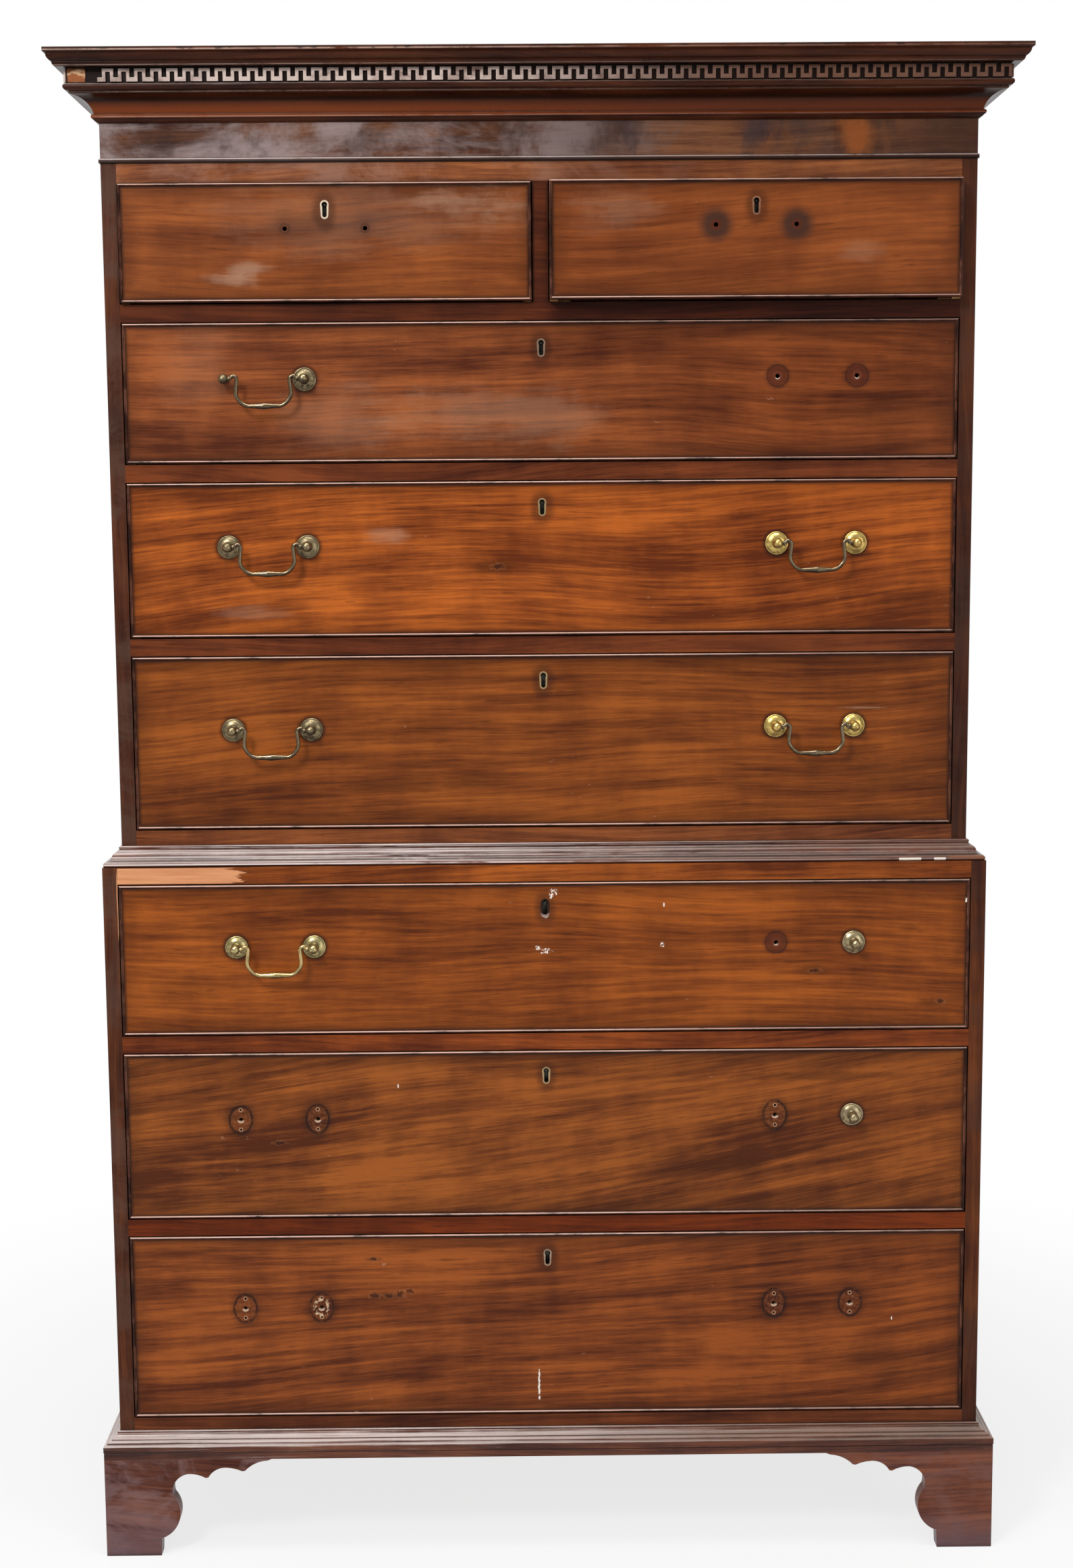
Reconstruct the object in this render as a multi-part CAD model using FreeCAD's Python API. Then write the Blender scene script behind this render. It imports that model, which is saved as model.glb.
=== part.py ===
import FreeCAD, Part
import math
import os

# A mahogany chest on chest: two short and three long drawers over three long drawers,
# on bracket feet, under a cornice with a Greek key fret.
# Millimetres. The origin is on the floor, in the middle of the chest's whole outline.
# +X is to the right of someone facing the chest, the front faces -Y and +Z is up.

V = FreeCAD.Vector

# ---------------------------------------------------------------- driving dimensions
# Carcases
lower_width = 1100.0
lower_depth = 560.0
case_setback = 21.5            # the upper chest stands in by this at the front and sides
side_thickness = 18.5
foot_height = 128.5
lower_bottom_rail = 49.0       # rail under the lowest drawer
lower_openings = (241.0, 216.0, 193.0)      # drawer openings, from the bottom up
lower_top_thickness = 21.5
upper_bottom_rail = 43.5
upper_openings = (217.5, 191.5, 171.0)
short_opening = 143.5
upper_top_thickness = 23.5
bottom_rail_depth = 25.0
bottom_board_thickness = 20.0
rail_thickness = 21.5
rail_depth = 70.0
housing_depth = 6.0            # how far a rail is let into the side
housing_stop = 6.0             # the housing starts this far behind the front edge
muntin_width = 19.0            # between the two short drawers
backboard_thickness = 12.0
backboard_count = 5
backboard_gap = 0.8

# Dustboards, runners and stops
runner_width = 45.0
middle_runner_width = 80.0
guide_height = 25.0
dustboard_thickness = 8.0
stop_length = 40.0
stop_depth = 12.0
stop_height = 6.0
stop_inset = 90.0              # drawer's end to the stop's middle

# Drawers
front_gap = 1.5                # around each drawer front in its opening
running_gap = 0.3              # under the drawer's sides
front_thickness = 20.0
bead_width = 3.0
bead_depth = 6.0
bead_proud = 2.0
drawer_side_thickness = 10.0
drawer_side_lap = 12.0         # the sides are let into the front by this
drawer_side_drop = 8.0         # the sides stop this far below the front's top
drawer_back_thickness = 9.0
drawer_back_drop = 5.0         # the back stops this far below the sides' top
drawer_bottom_thickness = 7.0
drawer_bottom_lift = 8.0       # from the sides' lower edge to the bottom's underside
drawer_bottom_groove = 6.0
drawer_strip_width = 15.0
drawer_rear_clearance = 15.0
short_left_pulled_out = 5.0
short_right_pulled_out = 18.0

# Locks
lock_width = 70.0
lock_height = 45.0
lock_clearance = 0.2           # at the lock's ends and under it
lock_front_wall = 6.5          # wood left between the drawer's face and the lock
bolt_width = 18.0
bolt_thickness = 6.0
bolt_height = 20.5
bolt_face_distance = 8.5       # drawer's face to the bolt
bolt_clearance = 0.3
bolt_throw = 8.0
mortise_slack = 5.5            # worn room in front of the bolt, when the drawer is shut
mortise_clearance = 0.5        # behind the bolt
mortise_end_clearance = 3.0
mortise_headroom = 2.5
key_drop = 25.7                # front's top edge to the key's axis
key_radius = 3.4
key_slot_width = 5.4
key_slot_length = 12.4         # key's axis to the centre of the slot's rounded end
key_pin_radius = 1.1           # the lock's pin, which the hollow key turns on
key_pin_reach = 3.5            # drawer's face to the pin's end
plate_top_radius = 5.2
plate_bottom_radius = 4.5
plate_fall = 12.5              # key's axis to the centre of the plate's lower round
plate_depth = 3.0
plate_proud = 0.4
plate_clearance = 0.05

# Swan-neck handles
pull_spacing = 97.0            # between a handle's two posts
long_pull_x = 337.0            # middle of the chest to a long drawer's handle
short_pull_rise = 16.5         # above the middle of the drawer front
upper_pull_rise = 16.5
lower_pull_rises = (24.0, 21.0, 16.5)       # from the bottom drawer up
post_hole_radius = 2.8
shank_radius = 2.6
nail_hole_radius = 1.4
nail_hole_depth = 9.0
nail_hole_offset = 12.7        # above and below the post's hole
rose_radius = 14.2
rose_rim = 1.3
rose_hub_radius = 4.6
rose_hub_height = 6.2
rose_rim_section = (           # in from the rose's edge, up from its rim
    ((0.5, 0.0), (1.5, 0.1)),
    (1.7, -0.2),
    ((4.2, 1.7), (7.8, 2.8)))
rose_hub_step = (1.2, 2.5)     # out from the hub, up from the rim
rose_hub_arc = (0.2, 4.0)
neck_radius = 3.3
ball_radius = 6.0
ball_distance = 17.0           # drawer's face to the ball's centre
pin_hole_radius = 2.1
pin_radius = 2.05
pin_hole_depth = 5.0
nut_radius = 6.0
nut_thickness = 5.0
shank_end = 2.0                # shank standing out of the nut
arm_radius = 2.45
collar_radius = 3.4
collar_length = 1.8
collar_gap = 0.6               # collar to ball
neck_rise = 4.2
neck_inset = 11.4              # post's axis to the top of the swan neck
neck_lean = 2.4                # the arms come this much closer under the necks
arm_inset = 14.4               # post's axis to the hanging part of the arm
arm_drop = 20.5
shoulder_inset = 24.5          # post's axis to the lower shoulder
grip_drop = 32.6
arm_bend = 15.0
pin_end_clearance = 0.5
grip_half_length = 19.0
grip_swell_x = 9.0             # middle of the grip to where its swelling is half way
grip_swell_radius = 3.1
grip_middle_radius = 4.1

# Mouldings
cornice_projection = 54.5
frieze_height = 46.5           # plain part of the frieze under the cornice
frieze_thickness = 20.0
frieze_bead_proud = 1.8
frieze_bead_height = 5.5
cornice_height = 78.5
cornice_top_recess = 2.0
cornice_top_thickness = 10.0
fascia_projection = 32.0
fascia_rise = 41.0             # cornice's bottom to the fascia
fascia_height = 17.5
fret_thickness = 2.5
fret_rise = 42.0
fret_height = 15.0
fret_leg = 3.9
fret_slot = 5.7
fret_hole = 5.5
fret_top_bar = 3.6
fret_bottom_bar = 5.0
fret_missing = 21.0            # length lost at the left corner
waist_height = 24.5
waist_projection = 20.0
base_projection = 19.0
base_height = 32.5

# Sections of the mouldings, each point a pair of lengths, the second one up from the
# moulding's foot. A pair of points is an arc through the first to the second.
cornice_cove = (                # out from the frieze: bead, cove and astragal
    (0.8, 0.0),
    ((3.2, 1.4), (6.0, 4.0)),
    ((8.2, 7.2), (5.0, 9.8)),
    ((11.5, 22.0), (27.0, 29.5)),
    (29.5, 30.0),
    (29.5, 32.3),
    (31.0, 33.0),
    ((35.4, 36.8), (33.0, 40.6)))
cornice_ovolo = (               # in from the cornice's edge, up from the fascia's soffit
    (12.0, 0.0),
    ((10.1, 1.4), (9.2, 5.0)),
    (8.0, 5.6),
    ((4.5, 8.6), (3.3, 13.6)))
cornice_fillet_rise = 15.2      # soffit to the top fillet
waist_bead = (                  # in from the moulding's edge
    (0.5, 0.0),
    (0.0, 1.5),
    ((0.2, 5.0), (2.2, 6.4)),
    (3.8, 6.6))
waist_cove = (                  # out from the case
    ((12.3, 8.2), (10.8, 10.9)),
    ((9.3, 15.4), (5.8, 17.2)),
    (5.2, 17.3),
    ((3.3, 18.8), (2.6, 20.8)))
waist_top_arc = (3.1, 23.2)
base_band = (                   # in from the moulding's edge: band and nosing
    (0.5, 0.0),
    (0.5, 8.7),
    (1.3, 9.0),
    (0.4, 9.5),
    (0.0, 9.9),
    (0.0, 15.5),
    ((0.4, 17.6), (2.4, 18.4)))
base_members = (                # out from the case
    (15.2, 18.4),
    (14.6, 19.2),
    ((13.0, 21.8), (10.4, 22.5)),
    (9.7, 22.7),
    (9.5, 23.9),
    (7.5, 24.4),
    ((4.7, 26.4), (3.2, 29.3)),
    (2.8, 29.8))
base_top_arc = (2.8, 31.8)
moulding_top_projection = 1.5   # of the waist and base mouldings' top edge

# Bracket feet
foot_projection = 18.5
foot_thickness = 20.0
foot_reach = 214.0             # corner to the end of a bracket's scroll
foot_scroll = (                # (in from the corner, up from the floor), as the sections
    (70.0, 0.0),
    (71.0, 24.0),
    (75.5, 25.0),
    ((94.8, 50.0), (87.3, 79.5)),
    ((89.6, 98.0), (107.0, 109.4)),
    ((119.0, 108.0), (129.0, 103.8)),
    (132.5, 104.4),
    ((141.5, 113.8), (156.0, 117.3)),
    ((167.0, 115.6), (176.0, 112.3)),
    (179.5, 112.9),
    ((191.0, 121.6), (209.0, 126.4)))
glue_block = 45.0
glue_block_lift = 2.0          # clear of the floor
rear_foot_width = 85.0
rear_foot_top_width = 140.0

# ---------------------------------------------------------------- places that follow
upper_width = lower_width - 2 * case_setback
front_overhang = max(cornice_projection - case_setback, base_projection)
back_y = (lower_depth + front_overhang) / 2
lower_front_y = back_y - lower_depth
upper_front_y = lower_front_y + case_setback
backboard_y = back_y - backboard_thickness


class Carcase:
    """The box of one chest: its faces, its drawer openings and the rails between them."""

    def __init__(self, name, width, front_y, bottom_z, bottom_rail, openings, top_thickness):
        self.name = name
        self.half = width / 2
        self.inner = self.half - side_thickness
        self.front_y = front_y
        self.bottom_z = bottom_z
        self.floor_z = bottom_z + bottom_rail
        self.openings = openings
        self.opening_z = []
        z = self.floor_z
        for height in openings:
            self.opening_z.append(z)
            z += height + rail_thickness
        self.top_board_z = z - rail_thickness
        self.top_z = self.top_board_z + top_thickness
        self.rail_z = [z - rail_thickness for z in self.opening_z[1:]]


lower = Carcase("lower", lower_width, lower_front_y, foot_height, lower_bottom_rail,
                lower_openings, lower_top_thickness)
upper = Carcase("upper", upper_width, upper_front_y, lower.top_z, upper_bottom_rail,
                upper_openings + (short_opening,), upper_top_thickness)

frieze_z = upper.top_z
cornice_z = frieze_z + frieze_height
cornice_top_z = cornice_z + cornice_height
fret_pitch = 2 * fret_leg + fret_slot + fret_hole


class Drawer:
    """One drawer: its opening, how far it stands out, and what is left on its front.

    pulls lists each handle as (middle's x, left post, right post, has a bail), where a
    post is "rose" (post and rose), "post", "hole" or "plate" (hole and two nail holes).
    """

    def __init__(self, name, case, row, middle_x, width, pulls, pull_rise,
                 pulled_out=0.0, has_plate=True):
        self.name = name
        self.middle_x = middle_x
        self.left = middle_x - width / 2 + front_gap
        self.right = middle_x + width / 2 - front_gap
        self.opening_z = case.opening_z[row]
        self.bottom = self.opening_z + front_gap
        self.top = self.opening_z + case.openings[row] - front_gap
        self.closed_y = case.front_y
        self.face_y = case.front_y - pulled_out
        self.pulled_out = pulled_out
        self.pulls = pulls
        self.pull_z = (self.bottom + self.top) / 2 + pull_rise
        self.has_plate = has_plate
        self.side_bottom = self.opening_z + running_gap
        self.side_top = self.top - drawer_side_drop
        self.panel_z = self.side_bottom + drawer_bottom_lift
        self.end_y = self.face_y + backboard_y - self.closed_y - drawer_rear_clearance
        self.key_z = self.top - key_drop


short_width = (2 * upper.inner - muntin_width) / 2
short_middle = (short_width + muntin_width) / 2
lower_row_width = 2 * lower.inner
upper_row_width = 2 * upper.inner


def long_pulls(left_posts, left_bail, right_posts, right_bail):
    """The two handles of a long drawer."""
    return [(-long_pull_x,) + left_posts + (left_bail,),
            (long_pull_x,) + right_posts + (right_bail,)]


whole = ("rose", "rose")
holes = ("hole", "hole")
plates = ("plate", "plate")

drawers = [
    Drawer("short_left_drawer", upper, 3, -short_middle, short_width,
           [(-short_middle,) + holes + (False,)], short_pull_rise,
           pulled_out=short_left_pulled_out),
    Drawer("short_right_drawer", upper, 3, short_middle, short_width,
           [(short_middle,) + holes + (False,)], short_pull_rise,
           pulled_out=short_right_pulled_out),
    Drawer("upper_top_drawer", upper, 2, 0.0, upper_row_width,
           long_pulls(("post", "rose"), True, holes, False), upper_pull_rise),
    Drawer("upper_middle_drawer", upper, 1, 0.0, upper_row_width,
           long_pulls(whole, True, whole, True), upper_pull_rise),
    Drawer("upper_bottom_drawer", upper, 0, 0.0, upper_row_width,
           long_pulls(whole, True, whole, True), upper_pull_rise),
    Drawer("lower_top_drawer", lower, 2, 0.0, lower_row_width,
           long_pulls(whole, True, ("hole", "rose"), False), lower_pull_rises[2],
           has_plate=False),
    Drawer("lower_middle_drawer", lower, 1, 0.0, lower_row_width,
           long_pulls(plates, False, ("plate", "rose"), False), lower_pull_rises[1]),
    Drawer("lower_bottom_drawer", lower, 0, 0.0, lower_row_width,
           long_pulls(plates, False, plates, False), lower_pull_rises[0]),
]


# ---------------------------------------------------------------- shape helpers
def block(x0, x1, y0, y1, z0, z1):
    """A square block between two corners, given in any order."""
    low = V(min(x0, x1), min(y0, y1), min(z0, z1))
    return Part.makeBox(abs(x1 - x0), abs(y1 - y0), abs(z1 - z0), low)


def outline(place, start, steps):
    """A closed face from (u, v) points: a step is a point, or (via, end) for an arc.

    place turns a (u, v) point into a vector. A line closes the outline if it is open.
    """
    edges = []
    here = start
    for step in steps:
        if isinstance(step[0], tuple):
            via, end = step
            edges.append(Part.Arc(place(*here), place(*via), place(*end)).toShape())
        else:
            end = step
            edges.append(Part.makeLine(place(*here), place(*end)))
        here = end
    if here != start:
        edges.append(Part.makeLine(place(*here), place(*start)))
    return Part.Face(Part.Wire(edges))


def polygon_prism(points, z0, z1):
    """A prism standing on an XY polygon."""
    corners = [V(x, y, z0) for x, y in points]
    face = Part.Face(Part.makePolygon(corners + corners[:1]))
    return face.extrude(V(0, 0, z1 - z0))


def rod(radius, base, direction, length):
    """A cylinder from base along direction."""
    return Part.makeCylinder(radius, length, base, direction)


def turned(profile, axis_point, axis):
    """A solid of revolution from a closed face."""
    return profile.revolve(axis_point, axis, 360)


def one_solid(shape):
    """The single solid of a boolean result, with its coplanar faces joined."""
    clean = shape.removeSplitter()
    return clean.Solids[0] if clean.Solids else clean


def rounded_wire(points, radius):
    """A line through points whose inner corners are tangent arcs."""
    edges = []
    here = points[0]
    for before, corner, after in zip(points, points[1:], points[2:]):
        to_before = (before - corner).normalize()
        to_after = (after - corner).normalize()
        half_turn = (math.pi - to_before.getAngle(to_after)) / 2
        room = 0.45 * min((before - corner).Length, (after - corner).Length)
        reach = min(radius * math.tan(half_turn), room)
        arc_radius = reach / math.tan(half_turn)
        start = corner + to_before * reach
        end = corner + to_after * reach
        inward = (to_before + to_after).normalize()
        middle = corner + inward * (arc_radius / math.cos(half_turn) - arc_radius)
        edges.append(Part.makeLine(here, start))
        edges.append(Part.Arc(start, middle, end).toShape())
        here = end
    edges.append(Part.makeLine(here, points[-1]))
    return Part.Wire(edges)


# ---------------------------------------------------------------- carcases
def side_board(case, sign):
    """One side, with the rails' stopped housings in its inner face."""
    board = block(sign * case.inner, sign * case.half, case.front_y, back_y,
                  case.bottom_z, case.top_z)
    for z in case.rail_z:
        board = board.cut(rail_tongue(case, sign, z))
    return one_solid(board)


def rail_tongue(case, sign, z):
    """The end of a rail that is let into a side."""
    return block(sign * case.inner, sign * (case.inner + housing_depth),
                 case.front_y + housing_stop, case.front_y + rail_depth,
                 z, z + rail_thickness)


def bolt_mortise(middle_x, front_y, z):
    """The mortise that a drawer's lock bolt rises into, open downwards at z."""
    half_length = bolt_width / 2 + mortise_end_clearance
    bolt_y = front_y + bolt_face_distance
    depth = bolt_throw - front_gap + mortise_headroom
    return block(middle_x - half_length, middle_x + half_length, bolt_y - mortise_slack,
                 bolt_y + bolt_thickness + mortise_clearance, z, z + depth)


def mortised(board, case, opening_top):
    """A rail or top board with a mortise over each drawer below it."""
    for drawer in drawers:
        if abs(drawer.top + front_gap - opening_top) < 1e-6:
            board = board.cut(bolt_mortise(drawer.middle_x, case.front_y, opening_top))
    return one_solid(board)


def top_board(case):
    """The carcase top between the sides, its front edge showing as the top rail."""
    board = block(-case.inner, case.inner, case.front_y, backboard_y,
                  case.top_board_z, case.top_z)
    return mortised(board, case, case.top_board_z)


def bottom_boards(case):
    """The carcase bottom and the deep rail that hides its front edge."""
    rail_back = case.front_y + bottom_rail_depth
    rail = block(-case.inner, case.inner, case.front_y, rail_back, case.bottom_z, case.floor_z)
    board = block(-case.inner, case.inner, rail_back, backboard_y,
                  case.floor_z - bottom_board_thickness, case.floor_z)
    return [rail, board]


def back_boards(case):
    """Upright backboards nailed behind the top and bottom, a shrinkage gap between them."""
    width = (2 * case.inner - (backboard_count - 1) * backboard_gap) / backboard_count
    boards = []
    for index in range(backboard_count):
        x = -case.inner + index * (width + backboard_gap)
        boards.append(block(x, x + width, backboard_y, back_y, case.bottom_z, case.top_z))
    return boards


def drawer_rails(case):
    """The rails between the drawers, housed in the sides."""
    rails = []
    for z in case.rail_z:
        rail = block(-case.inner, case.inner, case.front_y, case.front_y + rail_depth,
                     z, z + rail_thickness)
        for sign in (-1, 1):
            rail = rail.fuse(rail_tongue(case, sign, z))
        rails.append(mortised(rail, case, z))
    return rails


def short_drawer_muntin():
    """The upright between the two short drawers."""
    return block(-muntin_width / 2, muntin_width / 2, upper.front_y, upper.front_y + rail_depth,
                 upper.opening_z[-1], upper.top_board_z)


def runner(case, x0, x1, z):
    """A runner behind a rail, its top level with the rail's."""
    return block(x0, x1, case.front_y + rail_depth, backboard_y, z, z + rail_thickness)


def dustboards(case, split_top):
    """Behind each rail: side runners and the dustboard between them.

    split_top adds the middle runner and the guide behind the short drawers' muntin.
    """
    pieces = []
    for z in case.rail_z:
        middle_half = 0.0
        if split_top and z == case.rail_z[-1]:
            middle_half = middle_runner_width / 2
            pieces.append(runner(case, -middle_half, middle_half, z))
            pieces.append(block(-muntin_width / 2, muntin_width / 2,
                                case.front_y + rail_depth, backboard_y,
                                z + rail_thickness, z + rail_thickness + guide_height))
        panel_z = z + (rail_thickness - dustboard_thickness) / 2
        panel_outer = case.inner - runner_width
        for sign in (-1, 1):
            pieces.append(runner(case, sign * panel_outer, sign * case.inner, z))
            if middle_half:
                pieces.append(dustboard(case, sign * middle_half, sign * panel_outer, panel_z))
        if not middle_half:
            pieces.append(dustboard(case, -panel_outer, panel_outer, panel_z))
    return pieces


def dustboard(case, x0, x1, z):
    """A thin board between two runners."""
    return block(x0, x1, case.front_y + rail_depth, backboard_y, z, z + dustboard_thickness)


def drawer_stops(case):
    """Two stops under each drawer, which its front meets when it is shut."""
    stops = []
    for drawer in drawers:
        if drawer.closed_y != case.front_y:
            continue
        for x in (drawer.left + stop_inset, drawer.right - stop_inset):
            y = case.front_y + front_thickness
            stops.append(block(x - stop_length / 2, x + stop_length / 2, y, y + stop_depth,
                               drawer.opening_z, drawer.opening_z + stop_height))
    return stops


# ---------------------------------------------------------------- mouldings
def mitred_runs(half_width, front_y, start, steps):
    """A moulding round the front and both sides, mitred at the front corners.

    The profile's points are (projection from the case's faces, height).
    """
    reach = 2 * cornice_projection
    inside = 2 * frieze_thickness
    low, high = 0.0, 2 * cornice_top_z
    front = outline(lambda p, z: V(-half_width - reach, front_y - p, z), start, steps)
    front = front.extrude(V(2 * (half_width + reach), 0, 0))
    wedge = polygon_prism([(-half_width - reach, front_y - reach),
                           (half_width + reach, front_y - reach),
                           (half_width - inside, front_y + inside),
                           (-half_width + inside, front_y + inside)], low, high)
    runs = [front.common(wedge).Solids[0]]
    for sign in (-1, 1):
        side = outline(lambda p, z: V(sign * (half_width + p), front_y - reach, z), start, steps)
        side = side.extrude(V(0, back_y - front_y + reach, 0))
        wedge = polygon_prism([(sign * (half_width + reach), front_y - reach),
                               (sign * (half_width + reach), back_y),
                               (sign * (half_width - inside), back_y),
                               (sign * (half_width - inside), front_y + inside)], low, high)
        runs.append(side.common(wedge).Solids[0])
    return runs


def frieze_frame():
    """The cornice's frame: a beaded frieze at the front and sides, and a back rail."""
    top = cornice_top_z - cornice_top_recess - cornice_top_thickness
    bead_top = frieze_z + frieze_bead_height
    start = (-frieze_thickness, frieze_z)
    steps = [(frieze_bead_proud, frieze_z),
             (frieze_bead_proud, frieze_z + frieze_bead_height / 2),
             ((frieze_bead_proud * 0.8, frieze_z + frieze_bead_height * 0.85), (0.0, bead_top)),
             (0.0, top),
             (-frieze_thickness, top)]
    boards = mitred_runs(upper.half, upper.front_y, start, steps)
    inner = upper.half - frieze_thickness
    boards.append(block(-inner, inner, back_y - frieze_thickness, back_y, frieze_z, top))
    return boards


def section_steps(section, origin, z, direction=1.0):
    """A section's points, measured from origin in direction and up from z."""
    steps = []
    for step in section:
        if isinstance(step[0], tuple):
            steps.append(tuple((origin + direction * out, z + up) for out, up in step))
        else:
            steps.append((origin + direction * step[0], z + step[1]))
    return steps


def cornice_moulding():
    """The cornice: bead, cove, astragal, fascia for the fret, ovolo and top fillet."""
    top = cornice_top_z
    fascia = cornice_z + fascia_rise
    soffit = fascia + fascia_height
    start = (0.0, cornice_z)
    steps = section_steps(cornice_cove, 0.0, cornice_z)
    steps += [(fascia_projection, fascia), (fascia_projection, soffit)]
    steps += section_steps(cornice_ovolo, cornice_projection, soffit, -1.0)
    steps += [(cornice_projection, soffit + cornice_fillet_rise),
              (cornice_projection, top),
              (0.0, top)]
    return mitred_runs(upper.half, upper.front_y, start, steps)


def cornice_top():
    """The thin board inside the cornice, on the frieze frame."""
    z = cornice_top_z - cornice_top_recess
    return block(-upper.half, upper.half, upper.front_y, back_y, z - cornice_top_thickness, z)


def fret_strip(place, count):
    """A running key cut from thin wood: count units from u = 0, place maps (u, v, depth)."""
    leg_end = 2 * fret_leg + fret_hole
    over, under = [], []
    for index in range(count):
        u = index * fret_pitch
        over += [(u, fret_height), (u + leg_end, fret_height),
                 (u + leg_end, fret_bottom_bar), (u + fret_pitch, fret_bottom_bar)]
        under += [(u + fret_leg, 0.0), (u + fret_leg, fret_height - fret_top_bar),
                  (u + leg_end - fret_leg, fret_height - fret_top_bar),
                  (u + leg_end - fret_leg, 0.0)]
    start = (0.0, 0.0)
    end = (count * fret_pitch, 0.0)
    points = [start] + over + [end] + under[::-1]
    corners = [place(u, v, 0.0) for u, v in points]
    face = Part.Face(Part.makePolygon(corners + corners[:1]))
    return face.extrude(place(0.0, 0.0, fret_thickness) - place(0.0, 0.0, 0.0))


def greek_key():
    """The fret on the cornice's fascia, with the first units lost at the left corner."""
    z = cornice_z + fret_rise
    half = upper.half + fascia_projection
    front = upper.front_y - fascia_projection
    front_length = 2 * half - fret_missing
    side_length = back_y - front
    strips = [fret_strip(lambda u, v, d: V(half - u, front - d, z + v),
                         int(front_length / fret_pitch))]
    for sign in (-1, 1):
        strips.append(fret_strip(lambda u, v, d: V(sign * (half + d), front + u, z + v),
                                 int(side_length / fret_pitch)))
    return strips


def stepped_moulding(half_width, front_y, z, edge, outer, inner, top_arc, height):
    """A moulding from its outer members to its inner ones, closed against the case."""
    top = z + height
    steps = section_steps(outer, edge, z, -1.0) + section_steps(inner, 0.0, z)
    steps += [((top_arc[0], z + top_arc[1]), (moulding_top_projection, top)), (0.0, top)]
    return mitred_runs(half_width, front_y, (0.0, z), steps)


def waist_moulding():
    """On the lower chest's top, round the upper chest: beads and coves stepping out."""
    return stepped_moulding(upper.half, upper.front_y, lower.top_z, waist_projection,
                            waist_bead, waist_cove, waist_top_arc, waist_height)


def base_moulding():
    """Round the foot of the lower chest: a plain band, a nosing and small members above."""
    return stepped_moulding(lower.half, lower.front_y, lower.bottom_z, base_projection,
                            base_band, base_members, base_top_arc, base_height)


# ---------------------------------------------------------------- feet
def foot_outline(place):
    """A bracket foot's scrolled face: u runs inwards from the corner, v up from the floor."""
    top = [(foot_reach, foot_height), (0.0, foot_height)]
    return outline(place, (0.0, 0.0), list(foot_scroll) + top)


def bracket(place, thickness_direction):
    """A bracket cut from the foot's outline."""
    return foot_outline(place).extrude(thickness_direction * foot_thickness)


def foot_block(sign, y0, y1):
    """The glue block behind a foot's two brackets, just clear of the floor."""
    x = lower.half + foot_projection - foot_thickness
    return block(sign * x, sign * (x - glue_block), y0, y1,
                 glue_block_lift, foot_height)


def front_foot(sign):
    """Two scrolled brackets mitred at the corner, and the block behind them."""
    half = lower.half + foot_projection
    front = lower.front_y - foot_projection
    inner = front + foot_thickness
    far = half - foot_reach - foot_thickness
    face = bracket(lambda u, v: V(sign * (half - u), front, v), V(0, 1, 0))
    wedge = polygon_prism([(sign * half, front), (sign * far, front), (sign * far, inner),
                           (sign * (half - foot_thickness), inner)], 0.0, foot_height)
    side = bracket(lambda u, v: V(sign * half, front + u, v), V(-sign, 0, 0))
    side_wedge = polygon_prism([(sign * half, front),
                                (sign * (half - foot_thickness), inner),
                                (sign * (half - foot_thickness), back_y),
                                (sign * half, back_y)], 0.0, foot_height)
    return [face.common(wedge).Solids[0], side.common(side_wedge).Solids[0],
            foot_block(sign, inner, inner + glue_block)]


def rear_foot(sign):
    """A scrolled side bracket, a plain back bracket and the block between them."""
    half = lower.half + foot_projection
    side = bracket(lambda u, v: V(sign * half, back_y - u, v), V(-sign, 0, 0))
    inner_x = half - foot_thickness
    plain = outline(lambda u, v: V(sign * (inner_x - u), back_y - foot_thickness, v), (0.0, 0.0),
                    [(rear_foot_width, 0.0), (rear_foot_top_width, foot_height),
                     (0.0, foot_height)])
    plain = plain.extrude(V(0, foot_thickness, 0))
    block_back = back_y - foot_thickness
    return [side, plain, foot_block(sign, block_back - glue_block, block_back)]


# ---------------------------------------------------------------- drawers
def keyhole(drawer, y0, y1):
    """The key's way: a round and the slot under it, with its rounded end."""
    x = drawer.middle_x
    low = drawer.key_z - key_slot_length
    hole = rod(key_radius, V(x, y0, drawer.key_z), V(0, 1, 0), y1 - y0)
    end = rod(key_slot_width / 2, V(x, y0, low), V(0, 1, 0), y1 - y0)
    slot = block(x - key_slot_width / 2, x + key_slot_width / 2, y0, y1, low, drawer.key_z)
    return hole.fuse([end, slot])


def plate_body(drawer, y0, y1, clearance=0.0):
    """The outline of the thread escutcheon: two rounds joined by straight sides."""
    x = drawer.middle_x
    high = drawer.key_z
    low = drawer.key_z - plate_fall
    top_radius = plate_top_radius + clearance
    bottom_radius = plate_bottom_radius + clearance
    face = outline(lambda u, v: V(x + u, y0, v), (bottom_radius, low), [
        (top_radius, high),
        ((0.0, high + top_radius), (-top_radius, high)),
        (-bottom_radius, low),
        ((0.0, low - bottom_radius), (bottom_radius, low))])
    return face.extrude(V(0, y1 - y0, 0))


def lock_space(drawer, clearance=0.0):
    """The recess for the lock in the back of the drawer front."""
    half = lock_width / 2 + clearance
    return block(drawer.middle_x - half, drawer.middle_x + half,
                 drawer.face_y + lock_front_wall, drawer.face_y + front_thickness,
                 drawer.top - lock_height - clearance, drawer.top)


def post_places(drawer):
    """Each post's x, its kind, and the side of its handle that it is on."""
    places = []
    for middle_x, left, right, _ in drawer.pulls:
        places.append((middle_x - pull_spacing / 2, left))
        places.append((middle_x + pull_spacing / 2, right))
    return places


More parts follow.
